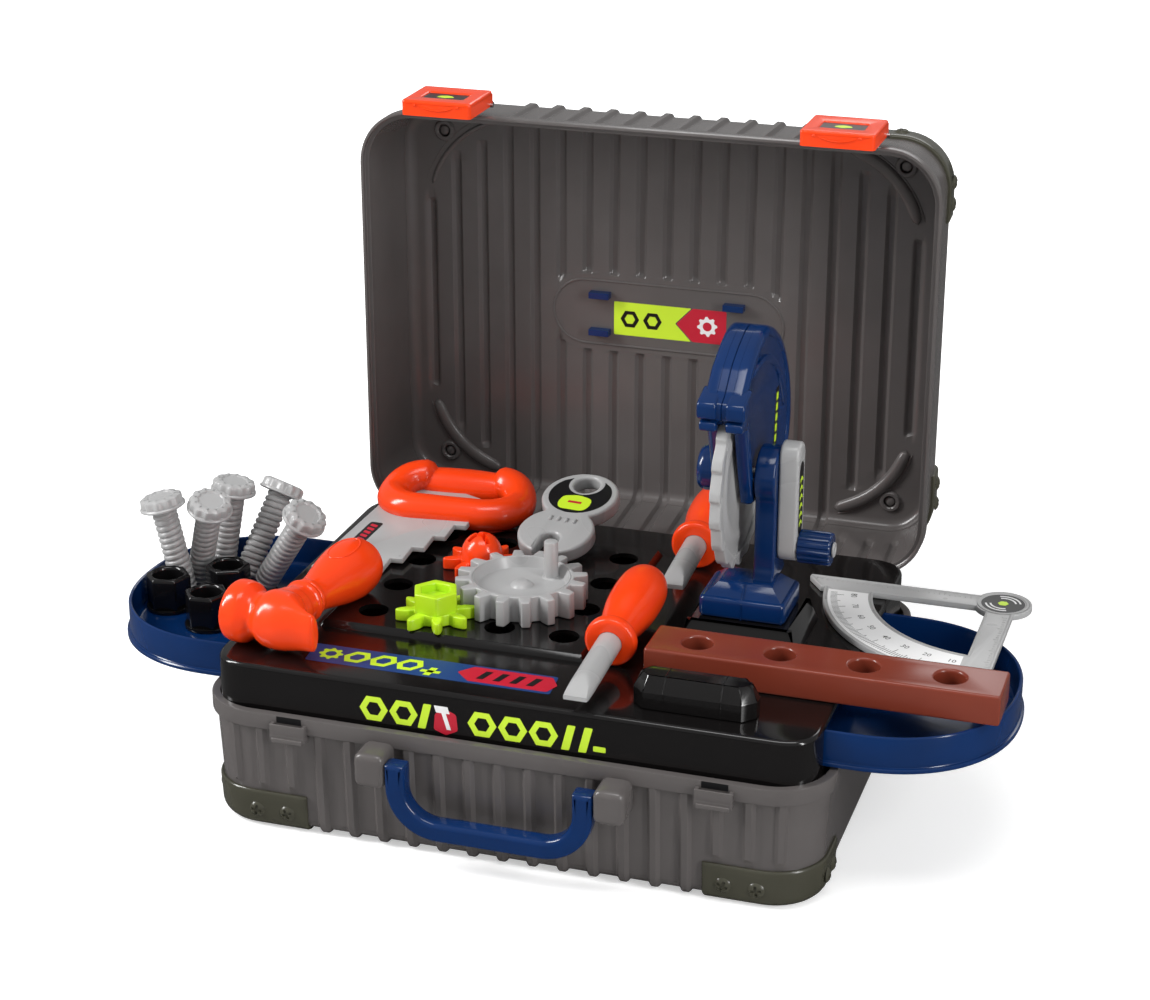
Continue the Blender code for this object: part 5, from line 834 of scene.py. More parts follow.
jaw_plan = rounded([(-39, -4), (-31, -12), (31, -12), (39, -4), (39, 4), (31, 12), (-31, 12), (-39, 4)],
                   0.6, 2)
jaw_profile = np.array([(0.5, 0), (0, 0.5), (0, 11.2), (0.2, 11.8), (4.6, 20.2), (5.2, 20.8), (5.9, 21)])
JAW = move(117, -116, 114.3)
seam = np.array([(-12.05, 0.8), (-12.05, 11.5), (-7.2, 20.7), (-6, 21.1), (6, 21.1), (7.2, 20.7),
                 (12.05, 11.5)])
seams = []
for x in (-18, 18):
    path = np.column_stack([np.full(len(seam), x), seam])
    seams.append(swept(path, ellipse(0.35, 0.35, 8), up=(1, 0, 0)))
assemble("clamp_jaw", "case", DECK_BLACK, [prism([jaw_plan], jaw_profile), *seams],
         ["clamp_bar"], sharp=18, at=JAW)


# Side trays
# Two shallow bins of blue ABS that slide out from under the deck. Each is one
# moulding with a rounded rim, a coved floor and a small lip round its foot.

TRAY_FOOT = 86.8
TRAY_Y = -24
angle = np.linspace(TURN / 4, -TURN / 4, 49)
power = 2 / 2.2
curve = np.column_stack([215 + 86 * np.abs(np.cos(angle)) ** power, 90 * np.sign(np.sin(angle))
                         * np.abs(np.sin(angle)) ** power])
tray_plan = np.concatenate([[(184, -90)], curve[::-1], [(184, 90)]])
cove = np.linspace(0, TURN / 4, 5)
tray_profile = np.concatenate([np.array([(-1.4, 0), (-2, 0.6), (-2, 2.4), (-1.4, 3), (-0.3, 3.2), (0, 3.6),
                                         (0, 22.3), (0.35, 23.1), (1.25, 23.5), (2.15, 23.1), (2.5, 22.3)]),
                               np.column_stack([5.5 - 3 * np.cos(cove), 5.5 - 3 * np.sin(cove)])])
for side, which in ((-1, "left"), (1, "right")):
    place = move(0, TRAY_Y, TRAY_FOOT) @ spin(TURN / 2 if side < 0 else 0, "Z")
    assemble("tray_" + which, which + "_tray", BLUE, [prism([tray_plan], tray_profile)],
             ["side_tray_" + which], at=place)


# Chop saw stand and column
# The blue ABS foot of the toy saw: a low hipped block on the deck's black stand, and a column
# whose round boss carries the axle. It is moulded in two halves, so a seam runs up the front.

AXLE = (108, 13.5, 220.3)
SAW_FOOT = 130.3
foot = block((91, -20, SAW_FOOT), (148, 26, SAW_FOOT + 14), 5, 2.6)
hip_profile = np.array([(0, 0), (0, 12.4), (0.4, 13.2), (8.6, 21), (9.6, 21.8), (11, 22)])
hip = placed(prism([rectangle(93, 146, -18, 24)], hip_profile), move(0, 0, SAW_FOOT))
column_plan = np.concatenate([[(-17, -71), (17, -71), (14, -60), (14, -22)],
                              arc(19.5, -TURN * 0.115, TURN * 0.615, 32), [(-14, -22), (-14, -60)]])
column = placed(prism([rounded(column_plan, 1.5, 2)], rolled(14.1, 27.8, 1.8, 4)), ACROSS)
column = placed(column, move(*AXLE))
seam_path = np.array([(119.5, -20.05, 131), (119.5, -20.05, 142), (119.5, -18, 144), (119.5, -10, 151.6),
                      (119.5, -8, 152), (119.5, 0, 152)])
foot_seam = swept(seam_path, ellipse(0.3, 0.3, 8), up=(1, 0, 0))
assemble("saw_stand", "chop_saw", BLUE, [foot, hip, column, foot_seam], ["saw_base"])


# Chop saw guard
# Two mirrored shells of blue ABS that close over the blade. A lipped nose stands out
# in front, the flanks are dished, and the left one carries a boss for the axle's end.

HEAD = 94
HEAD_SHARES = np.array([(-0.543, 0.553), (-0.543, 0.66), (-0.46, 0.69), (-0.277, 0.851), (-0.12, 0.925),
                        (0.043, 0.979), (0.2, 0.99), (0.38, 0.925), (0.54, 0.83), (0.68, 0.71),
                        (0.79, 0.57), (0.87, 0.43), (0.92, 0.27), (0.936, 0.11), (0.9, -0.06),
                        (0.745, -0.213), (0.213, -0.213), (-0.15, -0.19), (-0.234, 0.0), (-0.404, 0.468)])
POCKET = 64.5
head_plan = rounded((HEAD_SHARES * HEAD)[::-1], 4)
outside = np.hypot(*head_plan.T) > POCKET + 0.4
first = np.flatnonzero(outside & ~np.roll(outside, 1))
runs = [np.roll(head_plan, -start, 0)[:np.argmin(np.roll(outside, -start))] for start in first]
crown = max(runs, key=len)
bearing = np.unwrap(np.arctan2(crown[[-1, 0], 1], crown[[-1, 0], 0]))
crescent = np.concatenate([crown, arc(POCKET, bearing[0], bearing[1], 30)])
flank = np.array([(0, 5.2), (0, 9.4), (0.5, 11), (1.6, 12.4), (3.2, 13.1), (5.4, 13.2), (6.2, 12.7),
                  (7, 11.6), (7.6, 11.4)])
nose = rounded(np.array([(-0.565, 0.55), (-0.565, 0.665), (-0.36, 0.73), (-0.34, 0.56)])[::-1] * HEAD, 3)
under_lip = rounded(np.array([(-0.555, 0.47), (-0.555, 0.53), (-0.38, 0.565), (-0.38, 0.44)])[::-1] * HEAD,
                    2)
arch = level(arc(73, 1.85, 0.3, 30), 11.6)
LEVER = move(*AXLE) @ ACROSS
for side, which in ((-1, "left"), (1, "right")):
    mirror = LEVER @ Matrix.Diagonal((1, 1, side, 1))
    parts = [prism([head_plan], flank), prism([crescent], rolled(0.15, 5.4, 0.4, 1)),
             prism([nose], rolled(3, 15.5, 1.8, 4)), prism([under_lip], rolled(3, 14, 1.4, 3)),
             swept(arch, ellipse(3, 1.7, 12), scale=bulged(30, 8))]
    if which == "left":
        parts.append(turned([(0, 10), (15, 10), (15, 20.5), (14.7, 22), (13.6, 24.2), (12.4, 25.2),
                             (10, 25.7), (6, 25.7), (5, 25.2), (0, 25.2)]))
    assemble("saw_guard_" + which, "chop_saw", BLUE, parts, ["saw_head_" + which], at=mirror)
decal("saw_guard_label", "chop_saw", BLACK_PRINT_AND_SHADE,
      shifted([rounded(rectangle(-4.6, 4.6, -4, 37), 3)], 48, 4, 0.1), LEVER @ move(0, 0, 11.4))
slash = [rounded(rectangle(-2.4, 2.4, y, y + 5), 1) for y in range(0, 35, 7)]
decal("saw_guard_marks", "chop_saw", LABEL_LIME, shifted(slash, 48, 4, 0.1), LEVER @ move(0, 0, 11.5))


# Saw blade, crank arm and knob
# The blade is a grey ABS disc with a thick rim of raked teeth. It turns with
# the axle and the crank arm, on which a ridged blue knob spins on its own pin.

GREY = moulded("silver grey ABS", "#acacac", "#a0a0a0", 0.3)
tooth = np.arange(20) * TURN / 20
corner_radius = np.tile([60.2, 63, 63], 20)
corner_angle = (tooth[:, None] + np.array([0, 0.62, 0.9]) * TURN / 20).ravel()
blade_plan = polar(corner_radius, corner_angle)
rim = prism([rounded(blade_plan, 1.4, 3), bore(54, 80)], rolled(-3.5, 3.5, 0.7, 3))
face = np.array([(0, 3.4), (16, 3.4), (18, 2.2), (38, 2.0), (39.5, 2.8), (45, 2.8), (47, 2.0), (54.6, 2.0)])
disc = turned(np.concatenate([face * [1, -1], face[::-1]]), 96)
pits = []
for step in tooth[::2]:
    pit = block((55.2, -3.4, -3.8), (57.2, 3.4, 3.8), 0.8, 0.3)
    pits.append(placed(pit, spin(step, "Z")))
assemble("blade", "saw_spindle", GREY, [rim, disc, *pits], ["saw_blade"], at=LEVER)
arm_plan = np.concatenate([arc(10, 0, TURN / 2, 24, 0, 14), arc(10, TURN / 2, TURN, 24, 0, -47)])
assemble("crank", "saw_spindle", GREY, [prism([arm_plan], rolled(28.1, 40.8, 2, 5))],
         ["crank_arm"], at=LEVER)
FACE = LEVER @ move(0, 0, 40.8)
decal("crank_label", "saw_spindle", BLACK_PRINT_AND_SHADE, [stadium(25, 5.6)], FACE @ move(0, -14, 0)
      @ spin(TURN / 4, "Z"))
chevron = rounded([(-3.4, -1.2), (0, 1), (3.4, -1.2), (3.4, 1.2), (0, 3.4), (-3.4, 1.2)], 0.5)
decal("crank_label_marks", "saw_spindle", LABEL_LIME,
      [chevron + np.array([0, 6 * step - 32]) for step in range(6)], FACE @ ON_PRINT)
KNOB = LEVER @ move(0, -47, 0)
angle = np.arange(224) * TURN / 224
ridge = 11 - 0.8 * ease(0.5 - 0.8 * np.cos(14 * angle))
knob_plan = polar(ridge, angle)
knob_profile = np.array([(1.2, 41.1), (0.3, 41.5), (0, 42.2), (0, 60.6), (0.5, 61.8), (1.6, 62.5)])
assemble("knob", "saw_knob", BLUE, [prism([knob_plan, bore(2.8, 24)], knob_profile * [0.6, 1])],
         ["crank_knob"], at=KNOB)
pin = turned([(0, 33.1), (2.5, 33.1), (2.5, 62.9), (4.4, 62.9), (5, 63.3), (5, 64), (4.4, 64.4),
              (2.6, 64.4), (2.2, 63.9), (0, 63.8)], 28)
assemble("knob_cap", "saw_spindle", GREY, [pin], ["knob_pin"], at=KNOB)


# Gears
# Three ABS gears plugged in the peg holes: a dished grey one with a crank peg, a lime one with a hexagonal
# hub and an orange one with a slotted dome. Their teeth mesh, with the corners rounded for small hands.

GEAR_AT = (-33, -7.5, 118.3)
PEG_PITCH = 44
MODULE = PEG_PITCH * math.sqrt(2) / 12
PRESSURE_ANGLE = math.pi * 0.139


def gear_plan(teeth, phase, crown, soft=1.3):
    """Involute-like teeth: half a tooth spans half + inv(pitch) - inv(r).

    Here inv(r) = tan a - a, where cos a = base / r.
    """
    pitch = MODULE * teeth / 2
    tip, root = pitch + crown * MODULE, pitch - 1.2 * MODULE
    base = pitch * math.cos(PRESSURE_ANGLE)
    half = (math.pi * MODULE / 2 - 1.6) / pitch / 2
    radius = np.array([root, max(root, base * 1.001), pitch, (pitch + tip) / 2, tip])
    lean = np.arccos(np.minimum(base / radius, 1))
    involute = np.tan(lean) - lean
    spread = half + (involute[2] - involute) * np.array([1, 1, 1, 0.6, 0.6])
    angle = TURN * (np.arange(teeth)[:, None] + phase) / teeth + np.concatenate([-spread, spread[::-1]])
    reach = np.concatenate([radius, radius[::-1]])
    outline = polar(np.tile(reach, teeth), angle.ravel())
    return rounded(outline, np.tile([soft, 0.3 * soft, 0.3 * soft, 0.3 * soft, soft] * 2, teeth), 2)


def slotted(radius, dome, half, reach, floor):
    """A domed disc, a square grid drawn to it by x sqrt(1 - y^2/2), with a cross slot cut to the floor."""
    line = np.concatenate([[0, 0.5, 0.92, 1.08, 1.6], 1.6 + 0.4 * np.arange(1, 40)]) * half / radius
    line = np.unique(np.concatenate([line[line < 0.98], [reach - 0.02, reach + 0.02, 1]]))
    line = np.concatenate([-line[:0:-1], line])
    u, v = np.meshgrid(line, line)
    x, y = u * np.sqrt(1 - v * v / 2), v * np.sqrt(1 - u * u / 2)
    height = dome(np.minimum(np.hypot(x, y), 1))
    cut = np.minimum(np.abs(u), np.abs(v)) * radius < half
    cut &= np.maximum(np.abs(u), np.abs(v)) < reach
    height = np.where(cut, np.minimum(height, floor), height)
    points = np.stack([x * radius, y * radius, height], -1).reshape(-1, 3)
    return points, quads(len(line), len(line), closed=False)


def stem():
    """The plug under a gear that turns in a peg hole."""
    return turned([(0, -3.4), (8.6, -3.4), (9.6, -2.4), (9.6, 1.6), (0, 1.6)], 36)


dish = turned([(0, 1), (33, 1), (33, 17), (32.3, 17.6), (30, 13), (29, 11.4), (28, 11), (9, 11),
               (7.6, 11.4), (6.6, 12.6), (5, 13.8), (3, 14.3), (0, 14.4)], 72)
peg = turned([(0, 10), (6.4, 10), (6.2, 11), (5.2, 11.8), (5, 13), (4.75, 36), (4.4, 36.7), (3.6, 37),
              (0, 37)], 28)
peg = placed(peg, spin(TURN * 0.15, "Z") @ move(24, 0, 0) @ spin(-TURN * 0.15, "Z"))
toothed = prism([gear_plan(16, 0, 0.5), bore(32.8, 72)], rolled(0, 18, 0.9, 3))
assemble("gear_large", "large_gear", GREY, [toothed, dish, peg, stem()], ["crank_gear"],
         at=move(*GEAR_AT))
LIME = moulded("lime ABS", "#bfe62a", "#aeda20", 0.24)
for row, which in ((-1, "lime"), (1, "orange")):
    direction = math.atan2(row, -1) + math.pi
    facing = (direction + math.pi) / TURN * 16
    phase = direction / TURN * 8 + (0.5 if abs(facing - round(facing)) < 0.25 else 0)
    place = move(GEAR_AT[0] - PEG_PITCH, GEAR_AT[1] + row * PEG_PITCH, GEAR_AT[2])
    parts = [prism([gear_plan(8, phase, 1.13, 1.5)], rolled(0, 8, 0.9, 3)), stem()]
    if which == "lime":
        turn = TURN * 0.1417
        hub = rounded(arc(15.8, turn, turn + TURN, 7)[:-1], 1, 2)
        socket = rounded(arc(10.6, turn, turn + TURN, 7)[:-1], 0.8, 2)
        parts += [prism([hub, socket[::-1]], rolled(6, 21, 0.8, 3)),
                  prism([inset_loop(socket, -1)], rolled(6, 15, 0.3, 1))]
        finish, solid = LIME, "hex_gear"
    else:
        parts.append(placed(slotted(14.5, lambda r: 8 + 17 * np.sqrt(1 - r ** 2.2), 1.9, 0.66, 18.6),
                            spin(TURN / 8, "Z")))
        finish, solid = ORANGE, "dome_gear"
    assemble("gear_" + which, which + "_gear", finish, parts, [solid], at=place)


# Board
# A brown plastic plank for the saw, with four holes for
# the bolts. Its edges and the holes' rims are rounded.

BROWN = moulded("brown polystyrene", "#7f3929", "#702e20", 0.24, cloud=60)
board_plan = rounded(rectangle(74, 297, -86, -48), 2.2, 3)
holes = [bore(9.7) + np.array([104 + 53 * step, -67]) for step in range(4)]
assemble("plank_board", "plank", BROWN,
         [prism([board_plan, *holes], rolled(114.3, 134.3, 1.8, 5))], ["board"])


# Protractor square
# A flat set square of grey ABS with a quarter circle between its arms. Raised borders run round the
# arms, and a white card with the scale is stuck on the arc. The numbers are plain tens of degrees.

SQUARE = move(272, 86, 114.3) @ spin(TURN / 2, "Z")
quarter = TURN / 4
tilt = math.asin(9 / 19)
outer_tilt, inner_tilt = math.asin(9 / 119), math.asin(9 / 86)
square_plan = np.concatenate([[(132, -9), (132, -6), (121.5, 9)],
                              arc(119, outer_tilt, quarter - outer_tilt, 40), [(9, 124), (-9, 124)],
                              arc(19, quarter + tilt, TURN - tilt, 30)])
square_hole = np.concatenate([arc(19, tilt, quarter - tilt, 8),
                              arc(86, quarter - inner_tilt, inner_tilt, 40)])
square_parts = [prism([square_plan, square_hole], rolled(0, 3.6, 0.5, 2))]
for loop in (inset_loop(square_plan, 0.9), inset_loop(square_hole, 0.9)):
    square_parts.append(swept(level(loop, 3.6), ellipse(0.9, 0.6, 10), closed=True))
ticks = np.arange(22, 128, 3.5)
for index, run in enumerate(ticks):
    size = 3.6 if index % 5 == 0 else 2.2
    tick = block((-0.3, -size, 3.3), (0.3, 0, 3.9), 0.1, 0.1)
    square_parts.append(placed(tick, move(run, -2.6, 0)))
    if run < 120:
        square_parts.append(placed(tick, spin(TURN / 4, "Z") @ move(run, 6.2, 0)))
square_parts.append(turned([(0, 3), (17, 3), (17, 4.2), (15.5, 4.2), (15, 3.8), (0, 3.8)], 48))
assemble("square_frame", "square", GREY, square_parts, ["protractor_square"], at=SQUARE)
band = np.concatenate([arc(116, outer_tilt + 0.02, quarter - outer_tilt - 0.02, 40),
                       arc(89, quarter - inner_tilt - 0.02, inner_tilt + 0.02, 40)])
decal("square_scale", "square", LABEL_WHITE, [band], SQUARE @ move(0, 0, 3.6))
lines = []
for degree in range(8, 83):
    size = 9 if degree % 10 == 0 else 6.5 if degree % 5 == 0 else 4.5
    line = rectangle(114 - size, 114, -0.2, 0.2)
    bearing = math.radians(degree)
    turning = np.array([(math.cos(bearing), math.sin(bearing)), (-math.sin(bearing), math.cos(bearing))])
    lines.append(line @ turning)
INK = SQUARE @ move(0, 0, 3.72)
decal("square_ticks", "square", BLACK_PRINT_AND_SHADE, lines, INK, proud=0.08)


def number(text, size):
    """A plain number as a flat mesh: points and faces read from a text curve, centred on its own middle."""
    curve = bpy.data.curves.new("number", "FONT")
    curve.body = text
    curve.size = size
    curve.align_x = "CENTER"
    curve.align_y = "CENTER"
    curve.resolution_u = 2
    holder = bpy.data.objects.new("number", curve)
    bpy.context.scene.collection.objects.link(holder)
    mesh = bpy.data.meshes.new_from_object(holder)
    bpy.data.objects.remove(holder)
    points = np.array([vertex.co for vertex in mesh.vertices])
    corners = np.array([face.vertices[:] for face in mesh.polygons])
    bpy.data.meshes.remove(mesh)
    return points, corners


figures = []
for degree in range(10, 90, 10):
    bearing = math.radians(degree)
    spot = spin(bearing, "Z") @ move(98.5, 0, 0) @ spin(TURN / 4, "Z")
    figures.append(placed(number(str(90 - degree), 6), INK @ spot @ move(0, 0, 0.05)))
assemble("square_numbers", "square", BLACK_PRINT_AND_SHADE, figures)
EYE = SQUARE @ move(0, 0, 3.8)
decal("square_eye", "square", BLACK_PRINT_AND_SHADE, [ellipse(14.4, 14.4, 48)], EYE)
arcs = [np.concatenate([arc(size, 0.2, 1.9, 16), arc(size - 1.3, 1.9, 0.2, 16)]) for size in (9, 12)]
decal("square_eye_arcs", "square", LABEL_WHITE,
      [loop @ np.array([(c, s), (-s, c)]) for loop in arcs for c, s in ((1, 0), (-1, 0))], EYE @ ON_PRINT)
decal("square_eye_mark", "square", LABEL_LIME, [ellipse(3.6, 3.6, 6)], EYE @ ON_PRINT)


# Hand saw
# A grey ABS blade with six stepped teeth, and an orange grip moulded over its
# heel: a U-shaped tube whose ends stand up as horns, with a fat bar between them.

HEEL = 126
SAW_HEADING = TURN * 0.184
SAW_BLADE = move(-146, 1, 120.3) @ spin(SAW_HEADING, "Z") @ spin(-TURN * 0.0125, "Y")
steps = np.arange(6)[:, None] * 21
teeth = np.stack([np.concatenate([steps, steps + 3.9], 1), np.tile([0, -7.8], (6, 1))], -1).reshape(-1, 2)
saw_plan = np.concatenate([[(HEEL, 84), (-20.16, 36)], teeth, [(HEEL, 0)]])
soften = np.concatenate([[2, 2], np.tile([0.7, 1.2], 6), [2]])
assemble("saw_blade_hand", "hand_saw", GREY,
         [prism([rounded(saw_plan, soften, 3)], rolled(-2, 2, 0.6, 3))], ["hand_saw_blade"], at=SAW_BLADE)
PILL = SAW_BLADE @ move(34, 40, 2) @ spin(TURN * 0.052, "Z")
decal("hand_saw_label", "hand_saw", BLACK_PRINT_AND_SHADE, [rounded(rectangle(-22, 22, -5, 5), 2.5)], PILL)
stroke = rounded(rectangle(-1.6, 1.6, -2.8, 2.8), 0.7)
decal("hand_saw_marks", "hand_saw", LABEL_RED,
      [loop for step in range(5) for loop in shifted([stroke], step * 5.4 - 5, 0, 0.3)], PILL @ ON_PRINT)
decal("hand_saw_dot", "hand_saw", LABEL_WHITE, [ellipse(2.6, 2.6, 6) - np.array([15, 0])], PILL @ ON_PRINT)
GRIP = move(-128.5, 116.5, 131) @ spin(TURN * 0.008, "Z")
left_bend = arc(23, TURN * 0.26, TURN * 0.75, 20, -20, 0)
right_bend = arc(23, TURN * 0.75, TURN * 1.24, 20, 27, 0)
middle = np.column_stack([np.linspace(-20, 27, 9)[1:-1], np.full(7, -23)])
tube = np.concatenate([[(-13, 23)], left_bend, middle, right_bend, [(20, 23)]])
lift = 7 * ease((tube[:, 1] + 4) / 27)
tube = np.column_stack([tube, lift])
run = np.linspace(0, 1, len(tube))
girth = np.sqrt(np.clip(1 - np.clip(1 - np.minimum(run, 1 - run) / 0.045, 0, 1) ** 2, 0, 1))
girth = girth * (0.93 + 0.07 * np.abs(2 * run - 1))
reach = np.linspace(-1, 1, 25)
bar = np.column_stack([3.5 + reach * 38, 23.5 - 2 * reach ** 2, 0.5 + 3 * reach ** 2])
belly = bulged(25, 9) * (0.8 + 0.32 * np.cos(reach * 1.5))
tube_ring = ellipse(12, 12, 28)
assemble("hand_saw_handle", "hand_saw", ORANGE,
         [swept(tube, tube_ring, scale=girth), swept(bar, tube_ring, scale=belly)], ["hand_saw_grip"],
         sharp=60, at=GRIP)


# Wrench
# A thick grey ABS spanner, open jaw at the front and an eyed head at the
# back, with four grip ribs on the jaw and a dark crescent label on the head.

WRENCH = move(-37, 78, 130.1) @ spin(TURN * 0.235, "Z") @ spin(-TURN * 0.036, "Y")
slit, jaw_neck, eye_neck = math.asin(6.5 / 27), math.asin(17 / 27), math.asin(17 / 27.5)
wrench_plan = np.concatenate([arc(27, math.pi - slit, jaw_neck, 18),
                              arc(27.5, math.pi - eye_neck, -math.pi + eye_neck, 44, 44),
                              arc(27, -jaw_neck, -math.pi + slit, 18),
                              arc(6.5, -TURN / 4, TURN / 4, 12, -10)])[::-1]
eye = ellipse(9.5, 9, 36)[::-1] + np.array([57, 0])
wrench_parts = [prism([rounded(wrench_plan, 1, 1), eye], rolled(-5.5, 5.5, 2.4, 5))]
for step in np.arange(-1.5, 2):
    nub = swept(np.column_stack([np.linspace(9, 15, 9), np.full(9, step * 6), np.full(9, 5.4)]),
                ellipse(1.5, 1.3, 12), scale=bulged(9, 4))
    wrench_parts.append(nub)
assemble("wrench_body", "spanner", GREY, wrench_parts, ["wrench"], sharp=40, at=WRENCH)
LABEL = WRENCH @ move(44, 0, 5.5)
crescent_label = np.concatenate([arc(22.5, TURN * 0.14, TURN * 0.86, 40),
                                 arc(13, TURN * 0.82, TURN * 0.18, 30, 13)])
decal("wrench_label", "spanner", BLACK_PRINT_AND_SHADE, [rounded(crescent_label, 0.6, 1)], LABEL)
spot = rounded([(-19, -9), (-13, -12), (-4, -11), (-1, 0), (-4, 11), (-13, 12), (-19, 9)], 3.5)
decal("wrench_spot", "spanner", LABEL_LIME, [spot], LABEL @ ON_PRINT)
decal("wrench_marks", "spanner", LABEL_RED, shifted([rectangle(-1.2, 1.2, -5, 5)], -10, 0),
      LABEL @ move(0, 0, 0.24))


# Hammer
# A hollow toy hammer of orange ABS in two halves: a face, a narrow neck, a round barrel that
# ends in a blunt claw, and a bulbed grip pushed on the collar, with a raised oval on each side.


def eased(profile, count=5):
    """A profile drawn again as a Catmull-Rom curve through its points, count steps from one to the next."""
    knots = np.asarray(profile, float)
    knots = np.concatenate([2 * knots[:1] - knots[1:2], knots, 2 * knots[-1:] - knots[-2:-1]])
    a, b, c, d = knots[:-3, None], knots[1:-2, None], knots[2:-1, None], knots[3:, None]
    t = (np.arange(count) / count)[None, :, None]
    curve = (2 * b + (c - a) * t + (2 * a - 5 * b + 4 * c - d) * t ** 2 + (3 * b - a - 3 * c + d)
             * t ** 3) / 2
    curve = np.concatenate([curve.reshape(-1, 2), knots[-2:-1]])
    curve[:, 0] = np.maximum(curve[:, 0], 0)
    return curve


HAMMER = move(-160, -117, 134.8) @ spin(-TURN * 0.03, "Z") @ spin(TURN * 0.004, "X")
ALONG_Y = Matrix(((1, 0, 0, 0), (0, 0, 1, 0), (0, -1, 0, 0), (0, 0, 0, 1)))
face_end = np.array([(0, 0), (14, 0), (18, 0.9), (20, 3), (20.5, 6), (20.4, 10), (19.6, 13.5), (17, 17),
                     (15.2, 20), (15.6, 23.5), (17.8, 27), (19.1, 31), (19.3, 36), (19, 42), (17.8, 49),
                     (16.4, 56), (15.4, 62), (14, 66.4), (8, 67.9), (0, 68)])
barrel = turned(eased(face_end, 3), 56)
along = barrel[0][:, 2]
claw = ease((along - 40) / 25)
barrel[0][:, 0] *= 1 - 0.12 * claw
barrel[0][:, 1] = barrel[0][:, 1] * (1 - 0.68 * claw) - 7 * claw
barrel = placed(barrel, move(-34, 0, 0) @ spin(TURN / 4, "Y"))
collar = turned(eased([(0, 2), (16.5, 2), (15.4, 16), (14, 21), (13.4, 26), (14.2, 28), (14.6, 30),
                       (13.6, 31.8), (12, 32), (0, 32)], 4), 48)
assemble("hammer_face", "hammer", ORANGE, [barrel, placed(collar, ALONG_Y)], ["hammer_head"],
         sharp=50, at=HAMMER)
grip_profile = eased([(0, 0), (10, 0), (12.6, 0.6), (13.2, 2.4), (12.4, 6), (12.9, 13), (15.2, 23),
                      (17.9, 34), (19.8, 46), (19.7, 56), (17.4, 65), (12.6, 71), (6.6, 73.6), (0, 74)], 4)
grip = placed(turned(grip_profile, 56), ALONG_Y)
oval_path = ellipse(8.5, 15, 40) + [0, 46]
above = np.interp(oval_path[:, 1], grip_profile[:, 1], grip_profile[:, 0])
oval_path = np.column_stack([oval_path, np.sqrt(np.maximum(above ** 2 - oval_path[:, 0] ** 2, 0))])
outline = swept(oval_path, ellipse(0.6, 0.5, 8), closed=True)
GRIP_PLACE = HAMMER @ move(0, 32.3, 0)
assemble("hammer_handle", "hammer", ORANGE, [grip, outline], ["hammer_grip"], sharp=50,
         at=GRIP_PLACE)


# Screwdrivers
# Two flat-blade drivers: a bulbed orange ABS handle with
# a ring collar, and a grey shaft that ends in a wedge.

driver_profile = eased([(8.3, 0), (13.6, 0), (16, 0.9), (16.9, 3), (16.9, 6), (16, 8.4), (13.8, 10),
                        (12.6, 12), (12.4, 16), (13.2, 24), (14.9, 34), (16.4, 45), (17, 57), (16.9, 68),
                        (16, 77), (13.8, 84), (10, 89.4), (5, 91.6), (0, 92)], 4)
driver_profile = np.concatenate([np.array([(0, 12), (8.3, 12)]), driver_profile])
SHAFT_RADIUS = 8
SHAFT_TIP = -70
around = np.arange(40) * TURN / 40
reach = np.linspace(SHAFT_TIP, 11.7, 30)
edge = np.clip((reach - SHAFT_TIP) / 16, 0, 1)
flat = 1.5 + 6.5 * edge
wide = SHAFT_RADIUS * (1 - 0.06 * (1 - edge))
ring_x = wide[:, None] * np.cos(around)
ring_z = np.clip(SHAFT_RADIUS * np.sin(around), -flat[:, None], flat[:, None])
shank = np.stack([ring_x, np.broadcast_to(reach[:, None], ring_x.shape), ring_z], -1)
shank = np.stack([shank[0] * [0, 1, 0], *shank, shank[-1] * [0, 1, 0]])
for index, spot, heading, lift in ((1, (50, -80, 131.3), 0, 4.3), (2, (60, 86, 131.6), 2.9, 0)):
    place = move(*spot) @ spin(math.radians(heading), "Z") @ spin(math.radians(lift), "X")
    body = "driver_%d" % index
    assemble("driver_grip_%d" % index, body, ORANGE, [turned(driver_profile, 56)],
             [body + "_handle"], sharp=50, at=place @ ALONG_Y)
    assemble("driver_rod_%d" % index, body, GREY,
             [(shank.reshape(-1, 3), quads(len(shank), 40))], [body + "_shaft"], sharp=25, at=place)


# Bolts and nuts
# Five grey ABS bolts with a coarse helical thread and a flanged
# hexagon head, and three black PVC nuts, loose in the left tray.


def threaded(length, radius, pitch, depth, count=40):
    """A rod of radius R - d s^2 at z, with s = 2 |frac(z / pitch - angle / turn) - 1/2|: a helical ridge."""
    z = np.linspace(0, length, int(length / pitch * 8) + 1)[:, None]
    angle = (np.arange(count) * TURN / count)[None]
    phase = np.mod(z / pitch - angle / TURN, 1)
    crest = ease(1.6 * (1 - np.abs(2 * phase - 1)))
    reach = radius - depth * (1 - crest) * ease(z / 2) - 1.2 * (1 - ease(z / 1.5))
    points = np.stack([reach * np.cos(angle), reach * np.sin(angle), z + 0 * angle], -1)
    points = np.concatenate([points[:1] * [0, 0, 1], points, points[-1:] * [0, 0, 1]])
    return points.reshape(-1, 3), quads(len(points), count)


